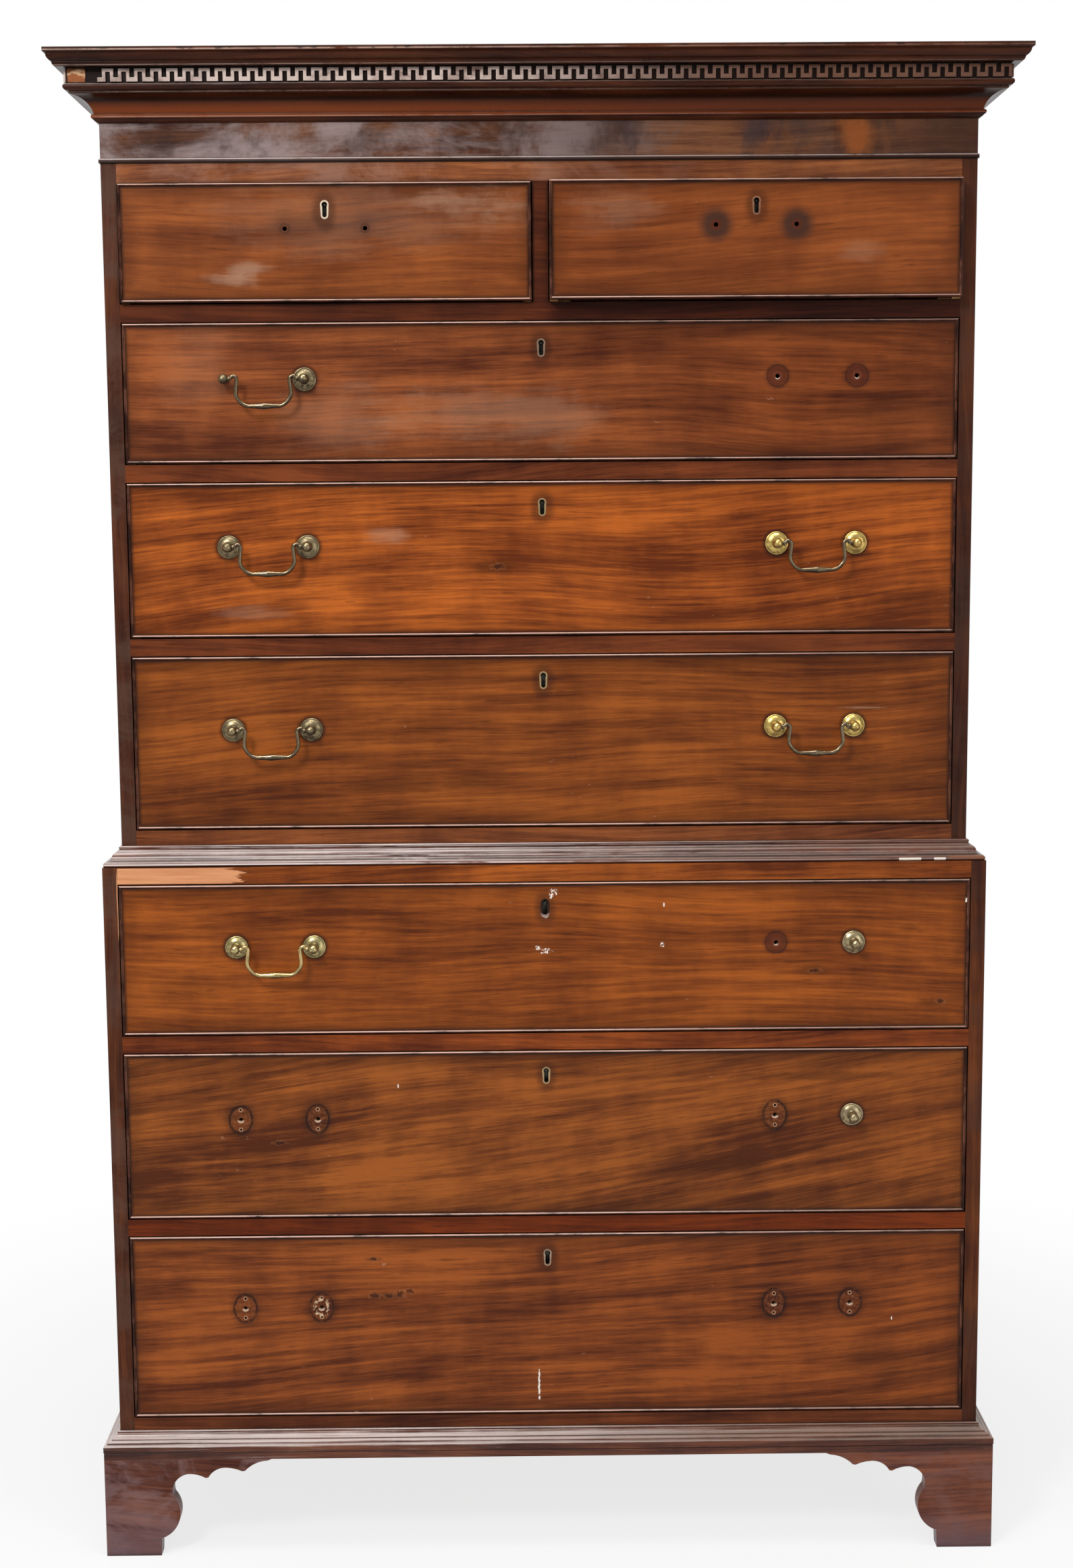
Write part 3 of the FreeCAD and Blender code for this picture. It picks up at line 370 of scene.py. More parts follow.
# The rings of each kind of mark: where they end, how strong they are and their colour
RINGS = {
    "rose": (((1.42, 0.95), 0.80, HALO),),
    "faint": (((1.3, 0.3), 0.35, rgb(70, 42, 32)), ((0.24, 0.46, 0.06), 0.4, HALO)),
    "dark": (((1.85, 0.70), 0.85, rgb(48, 34, 29)), ((0.62, 0.30), 0.70, rgb(80, 34, 20))),
    "round": (((1.40, 0.95), 0.30, HALO), ((1.06, 0.86), 0.62, rgb(72, 30, 19)),
              ((0.84, 1.08, 0.08), 0.45, HALO), ((0.56, 0.34), 0.35, rgb(112, 58, 38))),
    "oval": (((1.70, 0.95), 0.40, HALO),),
}
RINGS["scored"] = RINGS["oval"]


def handle_mark(g, board, roughness, cloud, ragged, lit, kind, x, z):
    """What a handle's post leaves on the front: a halo of dirt, or a lost plate's ghost, with a
    painted highlight on the lower lip and wall of its empty hole.
    """
    oval = kind in ("oval", "scored")
    half_x, half_z = (0.0146, 0.0183) if oval else (0.0142, 0.0142)
    distance = g.ellipse(x, z, half_x, half_z)
    wobble = g.plus(distance, g.centred(cloud, 0.30), g.centred(ragged, 0.24))
    for ends, share, tint in RINGS[kind]:
        ring = g.step(wobble, *ends) if len(ends) == 2 else g.between(wobble, *ends)
        board = g.mix((ring, share), board, tint)
    if kind == "rose":
        return board, roughness
    if kind == "round":
        # A painted highlight on the hole's lower lip
        lip = g.times(g.step(g.ellipse(x, z - 0.0010, 0.0030, 0.0030), 1.05, 0.90),
                      g.step(g.z, z - 0.0010, z - 0.0022))
        board = g.mix((lip, 0.75), board, rgb(214, 186, 164))
    elif oval:
        scuffed = g.times(g.step(wobble, 0.98, 0.80), g.step(ragged, 0.44, 0.60))
        board = g.mix((scuffed, 0.32), board, rgb(152, 88, 54))
        ring = g.times(g.between(wobble, 0.84, 1.14, 0.10),
                       g.step(g.plus(ragged, g.centred(cloud, 0.8)), 0.30, 0.50))
        board = g.mix((ring, 0.80), board, HALO)
        roughness = g.plus(roughness, g.times(g.step(wobble, 1.0, 0.9), 0.12))
        for offset in (-0.0127, 0.0127):
            nail = g.plus(g.ellipse(x, z + offset, 0.0026, 0.0026), g.centred(ragged, 0.5))
            board = g.mix((g.step(nail, 1.25, 0.75), 0.75), board, rgb(184, 140, 110))
            board = g.mix(g.step(nail, 0.64, 0.50), board, rgb(22, 12, 9))
        # A painted highlight on the hole's lower lip
        lip = g.times(g.step(g.plus(g.ellipse(x, z - 0.0010, 0.0042, 0.0036),
                                    g.centred(ragged, 0.5)), 1.08, 0.84),
                      g.step(g.z, z, z - 0.0018))
        board = g.mix((lip, 0.80), board, rgb(210, 178, 152))
    if kind == "scored":
        scored = g.times(g.between(wobble, 0.40, 0.74, 0.08), g.step(ragged, 0.46, 0.58))
        board = g.mix((scored, 0.85), board, rgb(216, 186, 150))
    # The bore: bare wood on its lower wall, painted pale only where it faces up, a painted
    # highlight where the light would reach in
    wall = g.step(g.ellipse(x, z, POST_HOLE, POST_HOLE), 1.12, 1.06)
    return g.mix((wall, lit, 0.9), board, rgb(224, 194, 168)), roughness


def case_wood(name, middle, seed, direction="X", gloss=0.38, dust_and_sheen=None, corner=None, extra=None,
              spread=1.0, crevice_shade=0.0, specular=0.10, coat=0.04, level=(0.25, 0.90)):
    """Mahogany of the case. direction is the grain's axis, and corner where its mitre starts.

    spread is how strong the figure is, dust how much pale, dusty film and painted highlight
    lies on upward faces at the left and at the right end, the difference being painted light
    falloff, level the upward slopes between which it lies, and crevice how much painted shade
    darkens corners.
    """
    g = Graph(name)
    x, y, z = g.x, g.y, g.z
    along, across, up = g.turned(direction)
    if corner:
        half, front = corner
        side = g.math("GREATER_THAN", g.minus(g.math("ABSOLUTE", x), half), g.minus(front, y))
        along, across = g.pick(side, y, x), g.pick(side, x, y)
    tone, pores, height = grain(g, along, across, up, seed)
    blotch = g.noise(g.place, scale=5.0, detail=4.0, roughness=0.62)
    tone = g.plus(tone, g.centred(blotch, 1.0))
    tone = g.plus(0.5, g.times(g.plus(tone, -0.5), spread))
    colour = wood_colour(g, tone, pores, middle)
    cloud = g.noise(g.place, scale=18.0, detail=5.0, roughness=0.68)
    roughness = g.plus(gloss, g.centred(cloud, 0.16))
    if dust_and_sheen:
        # Pale dusty film on upward faces, partly a painted highlight; paler and heavier at the left
        # as painted light falloff
        _, _, upward = g.facing()
        drag = g.stretched(g.join(along, across, z), (7.0, 480.0, 480.0), detail=4.0,
                           roughness=0.7)
        settled = g.step(g.plus(upward, g.centred(cloud, 0.40), g.centred(drag, 1.9)), *level)
        rightward = g.step(x, -0.20, 0.35)
        amount = g.math("MULTIPLY_ADD", rightward, dust_and_sheen[1] - dust_and_sheen[0], dust_and_sheen[0])
        pale = g.mix(rightward, rgb(206, 190, 184), rgb(150, 130, 118))
        colour = g.mix((settled, amount), colour, pale)
    if extra:
        colour, roughness = extra(g, colour, roughness, cloud)
    if crevice_shade:
        # Painted shade: corners and crevices darkened where ambient occlusion finds them
        corner_shade = g.step(g.plus(g.occlusion(0.008), g.centred(cloud, 0.20)), 0.86, 0.46)
        colour = g.mix((corner_shade, crevice_shade), colour, rgb(20, 10, 7))
    normal = g.bump(height, 0.0003, 0.45, g.bevel(0.0008))
    return g.finish(colour, roughness, normal, specular=specular, coat=coat,
                    coat_roughness=0.25)


def plain_wood(name, dark, middle, light, direction, seed, boards=None, panel=None, dusty=0.0,
               extra=None):
    """Oak or pine that was never polished, with saw marks and the dirt of two centuries.

    boards is where the first of several boards starts and how far apart they are, and
    panel (from x, to x, from y) is where a drawer's back is, whose grain runs along X.
    """
    g = Graph(name)
    along, across, up = g.turned(direction)
    if panel:
        inside = g.times(g.math("GREATER_THAN", g.x, panel[0]),
                         g.math("LESS_THAN", g.x, panel[1]),
                         g.math("GREATER_THAN", g.y, panel[2]))
        along, across = g.pick(inside, g.x, along), g.pick(inside, g.y, across)
    if boards:
        reached = g.math("DIVIDE", g.minus(up, boards[0]), boards[1])
        number = g.math("FLOOR", reached)
        joint = g.step(g.math("ABSOLUTE", g.plus(reached, g.times(number, -1.0), -0.5)),
                       0.484, 0.498)
        along = g.plus(along, g.times(number, 3.7))
        across = g.plus(across, g.times(number, 1.9))
    tone, pores, height = grain(g, along, across, up, seed, 0.6)
    tone = g.math("MULTIPLY_ADD", tone, 0.60, 0.20)
    if boards:
        tone = g.plus(tone, g.centred(g.noise(g.times(g.plus(number, seed), 3.71), detail=0.0),
                                      0.9))
    rings = g.stretched(g.join(along, across, up), (1.3, 20.0, 60.0), detail=1.0,
                        distortion=0.4)
    lines = g.math("SINE", g.times(rings, 55.0))
    tone = g.plus(tone, g.times(lines, 0.16))
    colour = tones(g, tone, dark, middle, light)
    colour = g.mix((pores, 0.35), colour, shade(dark, 0.6))
    stain = g.noise(g.place, scale=3.5, detail=5.0, roughness=0.65)
    colour = g.mix((g.step(stain, 0.46, 0.72), 0.5), colour, shade(dark, 0.7))
    if boards:
        colour = g.mix((joint, 0.85), colour, shade(dark, 0.25))
    if extra:
        colour = extra(g, colour)
    if dusty:
        _, _, upward = g.facing()
        settled = g.times(g.step(upward, 0.3, 0.9), dusty)
        colour = g.mix(settled, colour, rgb(126, 116, 106))
    saw = g.noise(g.join(g.times(along, 260.0), g.times(across, 20.0), g.times(up, 6.0)),
                  detail=2.0)
    normal = g.bump(g.plus(height, g.times(saw, 0.5)), 0.0005, 0.6)
    return g.finish(colour, 0.78, normal, specular=0.2)


# ---------------------------------------------------------------- metal
def brass(name, left, right, plate, face, middle_x, under=0.55):
    """A drawer's brass: with tarnish in its hollows, and worn bright on its high places.

    left and right are (bright, tarnish, amount, roughness) of the two handles, and plate
    is the same for the escutcheon. under is how much painted shade darkens its undersides.
    The lock behind the front is iron.
    """
    g = Graph(name)
    cloud = g.noise(g.place, scale=150.0, detail=4.0, roughness=0.60)
    broad = g.noise(g.place, scale=45.0, detail=3.0, roughness=0.6)
    hollow = g.step(g.plus(g.occlusion(0.0035), g.centred(cloud, 0.30)), 0.80, 0.30)
    _, _, upward = g.facing()
    below = g.step(upward, 0.20, -0.50)
    patchy = g.step(g.plus(cloud, g.centred(broad, 0.8)), 0.42, 0.64)

    def tarnish_and_shade(bright, tarnish, amount, roughness):
        # Patchy tarnish, patina in the hollows, and painted shade on the undersides
        dirt = g.least(g.plus(g.times(patchy, amount), g.times(hollow, 0.65),
                              g.times(below, under)), 1.0)
        return g.mix(dirt, bright, tarnish), roughness, dirt

    at_lock = g.math("LESS_THAN", g.off(g.x, middle_x), LOCK_HALF)
    colour, rough, share = tarnish_and_shade(*left)
    for look, mask in ((right, g.math("GREATER_THAN", g.x, middle_x)), (plate, at_lock)):
        this, roughness, dirt = tarnish_and_shade(*look)
        colour = g.mix(mask, colour, this)
        rough = g.pick(mask, roughness, rough)
        share = g.pick(mask, dirt, share)
    green = g.step(g.noise(g.place, scale=90.0, detail=4.0), 0.60, 0.74)
    colour = g.mix((green, 0.14), colour, rgb(92, 98, 66))
    # The lock: dull iron behind the face, with its pin
    behind = g.times(g.step(g.minus(g.y, face), 0.0031, 0.0034), at_lock)
    steel = g.mix(g.step(cloud, 0.46, 0.62), rgb(74, 74, 62), rgb(38, 28, 20))
    colour = g.mix(behind, colour, steel)
    rough = g.plus(rough, g.times(share, 0.20), g.centred(cloud, 0.08))
    pits = g.noise(g.place, scale=900.0, detail=2.0, roughness=0.6)
    normal = g.bump(g.plus(g.times(pits, 0.5), g.times(broad, 0.5)), 0.00004, 0.35)
    metal = g.times(g.math("MULTIPLY_ADD", share, -0.30, 1.0),
                    g.math("MULTIPLY_ADD", behind, -0.5, 1.0))
    return g.finish(colour, rough, normal, metallic=metal)


def iron(name):
    """A wrought lock bolt: dull steel with rust."""
    g = Graph(name)
    cloud = g.noise(g.place, scale=120.0, detail=5.0, roughness=0.7)
    rust = g.step(cloud, 0.48, 0.66)
    colour = g.mix(rust, rgb(92, 88, 84), rgb(82, 50, 32))
    normal = g.bump(cloud, 0.0002, 0.5)
    return g.finish(colour, g.plus(0.42, g.times(rust, 0.4)), normal,
                    metallic=g.minus(0.95, g.times(rust, 0.8)))


def wear(name, material):
    """Puts the material in the slots of the CAD node of that name."""
    for slot in nodes[name].material_slots:
        slot.material = material


# ---------------------------------------------------------------- drawers
def posts(z, *kinds, middles=(-LONG_PULL_X, LONG_PULL_X)):
    """The posts of a drawer, from the left, round its handles' middles."""
    places = [middle + half for middle in middles for half in (-HALF_PULL, HALF_PULL)]
    return [(kind, x, z) for kind, x in zip(kinds, places)]


fronts = {
    "short_left_drawer": dict(
        middle=rgb(114, 59, 26), seed=1.0, slope=0.02, figure=0.72,
        handles=posts(1.66825, "faint", "faint", middles=(-SHORT_PULL_X,)),
        sheen_hazes=[(-0.354, 1.621, 0.032, 0.012, 0.55), (-0.368, 1.607, 0.034, 0.012, 0.50),
               (-0.085, 1.697, 0.100, 0.020, 0.38), (-0.20, 1.68, 0.20, 0.05, 0.16)],
        stains=[(-0.29, 1.672, 0.045, 0.018, 0.30)]),
    "short_right_drawer": dict(
        middle=rgb(112, 57, 25), seed=2.0, slope=0.03, figure=0.60,
        handles=posts(1.66825, "dark", "dark", middles=(SHORT_PULL_X,)),
        sheen_hazes=[(0.381, 1.634, 0.036, 0.016, 0.18), (0.09, 1.69, 0.06, 0.03, 0.20)]),
    "upper_top_drawer": dict(
        middle=rgb(112, 58, 29), seed=3.0, right_shade=0.95,
        handles=posts(1.4895, "faint", "rose", "round", "round"),
        sheen_hazes=[(-0.066, 1.4456, 0.16, 0.040, 0.24), (-0.241, 1.442, 0.10, 0.05, 0.16),
               (-0.42, 1.50, 0.06, 0.07, 0.10)],
        stains=[(0.45, 1.44, 0.10, 0.03, 0.35)]),
    "upper_middle_drawer": dict(
        middle=rgb(137, 68, 24), seed=4.0, slope=0.04, right_shade=0.42, figure=1.10,
        handles=posts(1.28675, "rose", "rose", "rose", "rose"),
        sheen_hazes=[(-0.185, 1.298, 0.030, 0.013, 0.40), (-0.36, 1.205, 0.06, 0.010, 0.25)],
        stains=[(-0.0547, 1.261, 0.040, 0.010, 0.60), (-0.30, 1.212, 0.05, 0.006, 0.35),
                (-0.47, 1.2951, 0.035, 0.008, 0.35), (0.4554, 1.2181, 0.09, 0.03, 0.40)],
        pits=[(-0.0547, 1.2610, 0.0070, 0.0030)]),
    "upper_bottom_drawer": dict(
        middle=rgb(116, 59, 21), seed=5.0, slope=0.03, right_shade=0.20, figure=0.92,
        handles=posts(1.06075, "rose", "rose", "rose", "rose"),
        sheen_hazes=[(0.3995, 1.0825, 0.050, 0.0022, 0.50)],
        stains=[(0.44, 1.00, 0.08, 0.03, 0.4), (-0.15, 0.99, 0.12, 0.012, 0.3)]),
    "lower_top_drawer": dict(
        middle=rgb(126, 63, 20), seed=6.0, slope=-0.02, right_shade=0.15, figure=0.92, bare_key=True,
        handles=posts(0.7905, "rose", "rose", "round", "rose"),
        spots=[(0.1484, 0.8396, 0.0016, 0.0040), (0.1467, 0.7891, 0.0022, 0.0030),
               (0.0108, 0.8590, 0.0050, 0.0024), (0.0078, 0.8530, 0.0024, 0.0040),
               (0.0140, 0.8550, 0.0014, 0.0020), (-0.0095, 0.7862, 0.0040, 0.0024),
               (0.0020, 0.7826, 0.0060, 0.0030), (-0.0040, 0.7800, 0.0022, 0.0014),
               (0.526, 0.8422, 0.0018, 0.0036)],
        stains=[(-0.44, 0.74, 0.06, 0.02, 0.3), (0.4546, 0.8083, 0.016, 0.006, 0.3),
                (0.3363, 0.7560, 0.030, 0.008, 0.5), (0.4957, 0.7137, 0.030, 0.006, 0.5)],
        pits=[(0.3363, 0.7546, 0.0060, 0.0022), (0.4957, 0.7137, 0.0050, 0.0024)]),
    "lower_middle_drawer": dict(
        middle=rgb(117, 61, 23), seed=7.0, slope=0.11, right_shade=0.25, figure=1.15,
        handles=posts(0.569, "oval", "oval", "oval", "rose"),
        spots=[(-0.1867, 0.6106, 0.0010, 0.0034)],
        stains=[(0.20, 0.50, 0.14, 0.02, 0.3), (0.345, 0.619, 0.16, 0.007, 0.5)],
        pits=[(-0.3375, 0.5385, 0.0060, 0.0026)]),
    "lower_bottom_drawer": dict(
        middle=rgb(118, 59, 23), seed=8.0, slope=0.06, right_shade=0.50, figure=1.08,
        handles=posts(0.322, "oval", "scored", "oval", "oval"),
        spots=[(-0.0118, 0.2173, 0.0016, 0.0262), (0.4394, 0.2999, 0.0008, 0.0030)],
        stains=[(0.43, 0.25, 0.10, 0.04, 0.4), (-0.2012, 0.3370, 0.034, 0.0070, 0.7),
                (-0.2202, 0.3855, 0.014, 0.0045, 0.5)],
        pits=[(-0.2200, 0.3372, 0.0070, 0.0030), (-0.2030, 0.3366, 0.0060, 0.0030),
              (-0.1880, 0.3386, 0.0060, 0.0040), (-0.1760, 0.3420, 0.0050, 0.0030),
              (-0.2202, 0.3855, 0.0050, 0.0030)]),
}
for drawer, look in fronts.items():
    wear(drawer + "_front", drawer_front(drawer + "_front", **look))


# ---------------------------------------------------------------- the case
def bloom_and_sheen(colours, strength, scale=6.0, low=0.42, high=0.62):
    """Grey mottled haze in the polish, partly a painted sheen; its other colour at the right end is
    painted light falloff.
    """
    def paint(g, colour, roughness, cloud):
        patch = g.stretched(g.place, (scale, scale, scale * 1.6), detail=6.0, roughness=0.68,
                            distortion=0.6)
        rightward = g.step(g.x, -0.15, 0.30)
        share = g.times(g.step(patch, low, high),
                        g.math("MULTIPLY_ADD", rightward, strength[1] - strength[0],
                               strength[0]))
        tint = g.mix(rightward, colours[0], colours[1])
        return g.mix(share, colour, tint), roughness
    return paint


def cracked_stile(g, colour, roughness, cloud):
    """The lower left stile: the veneer beside its joint is split and pale."""
    colour, roughness = bloom_and_sheen((rgb(88, 64, 54), rgb(88, 64, 54)), (0.45, 0.45), 9.0)(
        g, colour, roughness, cloud)
    split = g.times(g.step(g.math("ABSOLUTE", g.plus(g.x, 0.5322, g.centred(cloud, 0.0022))),
                           0.0008, 0.0004),
                    g.between(g.z, 0.795, 0.892, 0.02), g.step(g.y, -0.261, -0.263))
    return g.mix((split, 0.85), colour, rgb(206, 146, 104)), roughness


def frieze_haze_and_sheen(g, colour, roughness, cloud):
    """The frieze: grey haze at the left, partly a painted sheen, dark mottle with flame figure at
    the right, darkened there as painted light falloff.
    """
    # Four leaves of veneer, each a little lighter or darker
    leaf = g.math("FLOOR", g.times(g.plus(g.x, 0.5971), 1 / 0.238))
    change = g.noise(g.times(leaf, 3.71), detail=0.0)
    colour = g.mix(g.step(change, 0.35, 0.65), colour, (0.55, 0.52, 0.52, 1.0), "MULTIPLY")
    colour, roughness = bloom_and_sheen((rgb(144, 128, 126), rgb(70, 54, 47)), (0.85, 0.60), 7.0,
                              0.36, 0.60)(g, colour, roughness, cloud)
    streaks = g.stretched(g.place, (7.0, 7.0, 50.0), detail=6.0, roughness=0.70,
                          distortion=0.5)
    # Pale streaks at the left: painted sheen
    left = g.step(g.x, 0.25, -0.25)
    colour = g.mix((g.step(streaks, 0.50, 0.74), 0.35, left), colour,
                   rgb(168, 154, 152))
    colour = g.mix((g.step(streaks, 0.48, 0.30), 0.45), colour, rgb(66, 40, 32))
    flame = g.stretched(g.place, (20.0, 9.0, 9.0), detail=5.0, roughness=0.66, distortion=0.8)
    glow = g.times(g.step(flame, 0.48, 0.66), g.step(g.x, -0.05, 0.25), 0.45)
    colour = g.mix(glow, colour, rgb(108, 66, 40))
    for x, half, share, tint in ((0.381, 0.020, 0.78, rgb(142, 78, 36)),
                                 (0.267, 0.024, 0.70, rgb(58, 48, 50)),
                                 (0.105, 0.018, 0.60, rgb(58, 46, 48))):
        tongue = g.plus(g.ellipse(x, 1.783, half, 0.032), g.centred(cloud, 2.6),
                        g.centred(flame, 3.4))
        colour = g.mix((g.step(tongue, 1.20, -0.10), share), colour, tint)
    # Painted light falloff: the right end darker
    colour = g.mix((g.step(g.x, 0.40, 0.50), 0.55), colour, rgb(50, 33, 27))
    dark = g.step(g.noise(g.place, scale=11.0, detail=5.0, roughness=0.7), 0.52, 0.66)
    colour = g.mix((dark, 0.50), colour, rgb(46, 32, 28))
    # The bead along the lower edge: a painted highlight on top, brighter at the left, dark under it
    bead = g.step(g.z, 1.7536, 1.7527)
    _, _, upward = g.facing()
    colour = g.mix((bead, 0.75), colour, rgb(54, 32, 25))
    top_highlight = g.times(bead, g.step(upward, 0.10, 0.45), g.step(cloud, 0.22, 0.50),
                     g.math("MULTIPLY_ADD", left, 0.35, 0.50))
    colour = g.mix(top_highlight, colour, rgb(202, 186, 180))
    return g.mix((g.step(g.z, 1.7496, 1.7484), 0.85), colour, rgb(16, 8, 6)), roughness


def bare_fascia(g, colour, roughness, cloud):
    """The cornice: painted light and shade on its cove, and a fascia behind the fret painted black
    as shade, bare with old glue at the left corner.
    """
    # The lower cove: warmer and lighter at the left, painted light falloff; above it painted shadow
    cove = g.times(g.step(g.plus(g.z, g.centred(cloud, 0.004)), 1.8220, 1.8070),
                   g.step(g.z, 1.7985, 1.7995))
    left = g.step(g.x, 0.35, -0.35)
    warm = g.mix(left, rgb(92, 38, 10), rgb(126, 58, 20))
    colour = g.mix((cove, 0.85), colour, warm)
    shadow = g.between(g.z, 1.8140, 1.8232, 0.0050)
    colour = g.mix((shadow, 0.85), colour, rgb(22, 9, 5))
    fascia = g.between(g.z, 1.8345, 1.8522, 0.0006)
    colour = g.mix((fascia, 0.92), colour, rgb(24, 13, 9))
    lost = g.times(g.between(g.z, 1.8352, 1.8515, 0.0010),
                   g.between(g.plus(g.x, g.centred(cloud, 0.006)), -0.5590, -0.5375, 0.002),
                   g.step(g.y, -0.2735, -0.2738))
    bare = g.mix(g.step(g.stretched(g.place, (60.0, 10.0, 160.0), detail=3.0), 0.46, 0.62),
                 rgb(150, 88, 50), rgb(228, 186, 146))
    colour = g.mix((lost, 0.95), colour, bare)
    # Painted highlights along the fillets' edges, greyer at the left as painted light falloff
    for low, high, share in ((1.7990, 1.8008, 0.8), (1.8026, 1.8042, 1.0), (1.8240, 1.8262, 0.8),
                             (1.8325, 1.8342, 0.7), (1.8522, 1.8540, 0.8), (1.8676, 1.8700, 1.0)):
        line = g.times(g.between(g.z, low, high, 0.0008), g.step(cloud, 0.28, 0.55),
                       g.math("MULTIPLY_ADD", left, 0.50 * share, 0.20 * share))
        colour = g.mix(line, colour, rgb(176, 148, 134))
    worn = g.times(g.step(g.plus(g.z, g.centred(cloud, 0.012)), 1.8690, 1.8705),
                   g.step(g.noise(g.place, scale=60.0, detail=4.0), 0.50, 0.60))
    colour = g.mix((worn, 0.7), colour, rgb(24, 14, 11))
    # The top that nobody sees: dull, under an even dusty film
    top = g.step(g.z, 1.8712, 1.8718)
    film = g.mix(g.step(cloud, 0.30, 0.70), rgb(84, 66, 56), rgb(112, 96, 86))
    return g.mix((top, 0.85), colour, film), g.plus(roughness, g.times(top, 0.40))


def lost_veneer(g, colour, roughness, cloud):
    """The lower top rail: its veneer is gone at the left, down to pale wood."""
    torn = g.stretched(g.place, (22.0, 8.0, 420.0), detail=3.0, roughness=0.6)
    reach = g.plus(g.x, g.centred(torn, 0.10))
    front = g.step(g.y, -0.2628, -0.2633)
    gone = g.times(g.step(reach, -0.384, -0.387), g.between(g.z, 0.8712, 0.8914, 0.0005), front)
    pale = g.mix(g.stretched(g.place, (10.0, 8.0, 240.0), detail=4.0, roughness=0.65),
                 rgb(168, 98, 56), rgb(234, 172, 126))
    edge = g.times(g.step(reach, -0.380, -0.3835), g.minus(1.0, gone), front)
    colour = g.mix((edge, 0.45), colour, rgb(60, 30, 18))
    return g.mix(gone, colour, pale), g.plus(roughness, g.times(gone, 0.25))


def darker(z_low, z_high, tint, right_tint=None, split=0.0):
    """Wood that is darker between two heights, and again right of split."""
    def paint(g, colour, roughness, cloud):
        here = g.between(g.z, z_low, z_high, 0.002)
        colour = g.mix(here, colour, tint, "MULTIPLY")
        if right_tint:
            colour = g.mix((here, g.step(g.x, split, split + 0.02)), colour, right_tint,
                           "MULTIPLY")
        return colour, roughness
    return paint


def chipped_waist(g, colour, roughness, cloud):
    """The waist moulding: painted shade between its members, painted highlights on its rounds,
    white chips near the right end.
    """
    rub = g.stretched(g.place, (9.0, 9.0, 30.0), detail=4.0, roughness=0.7)
    left = g.step(g.x, 0.35, -0.20)
    # Painted shade in the creases between the members, broken up by noise
    for low, high, soft, share in ((0.8980, 0.9006, 0.0007, 0.75), (0.9087, 0.9100, 0.0004, 0.55),
                                   (0.8915, 0.8930, 0.0005, 0.80)):
        colour = g.mix((g.between(g.z, low, high, soft), g.step(rub, 0.25, 0.45), share),
                       colour, rgb(30, 16, 12))
    bead = g.between(g.z, 0.8930, 0.8982, 0.0006)
    colour = g.mix((bead, 0.45), colour, rgb(92, 50, 36))
    # Painted highlights along the rounds, stronger at the left
    for low, high, strength in ((0.8940, 0.8964, 0.60), (0.9128, 0.9146, 0.60),
                                (0.9020, 0.9046, 0.50)):
        lit = g.times(g.between(g.z, low, high, 0.0007), g.step(rub, 0.30, 0.55),
                      g.math("MULTIPLY_ADD", left, strength, 0.25))
        colour = g.mix(lit, colour, rgb(228, 214, 208))
    chips = g.most(*[g.math("LESS_THAN", g.plus(g.off(g.x, x), g.centred(cloud, 0.010)), half)
                     for x, half in ((0.4545, 0.0140), (0.4925, 0.0075))])
    low_bead = g.between(g.z, 0.8925, 0.8965, 0.0006)
    front = g.step(g.y, -0.258, -0.260)
    bare = g.times(g.step(g.plus(g.x, g.centred(cloud, 0.03)), 0.503, 0.510),
                   g.between(g.z, 0.8930, 0.9000, 0.0008), front)
    colour = g.mix((bare, 0.7), colour, rgb(126, 80, 54))
    return g.mix((chips, low_bead, front), colour, rgb(238, 224, 210)), roughness


def purple_feet(g, colour, roughness, cloud):
    """The feet: polish gone grey and purple towards the floor."""
    colour, roughness = bloom_and_sheen((rgb(132, 104, 104), rgb(112, 84, 82)), (0.55, 0.45), 13.0)(
        g, colour, roughness, cloud)
    low = g.step(g.plus(g.z, g.centred(cloud, 0.05)), 0.060, 0.004)
    return g.mix((low, 0.6), colour, rgb(104, 84, 90)), roughness


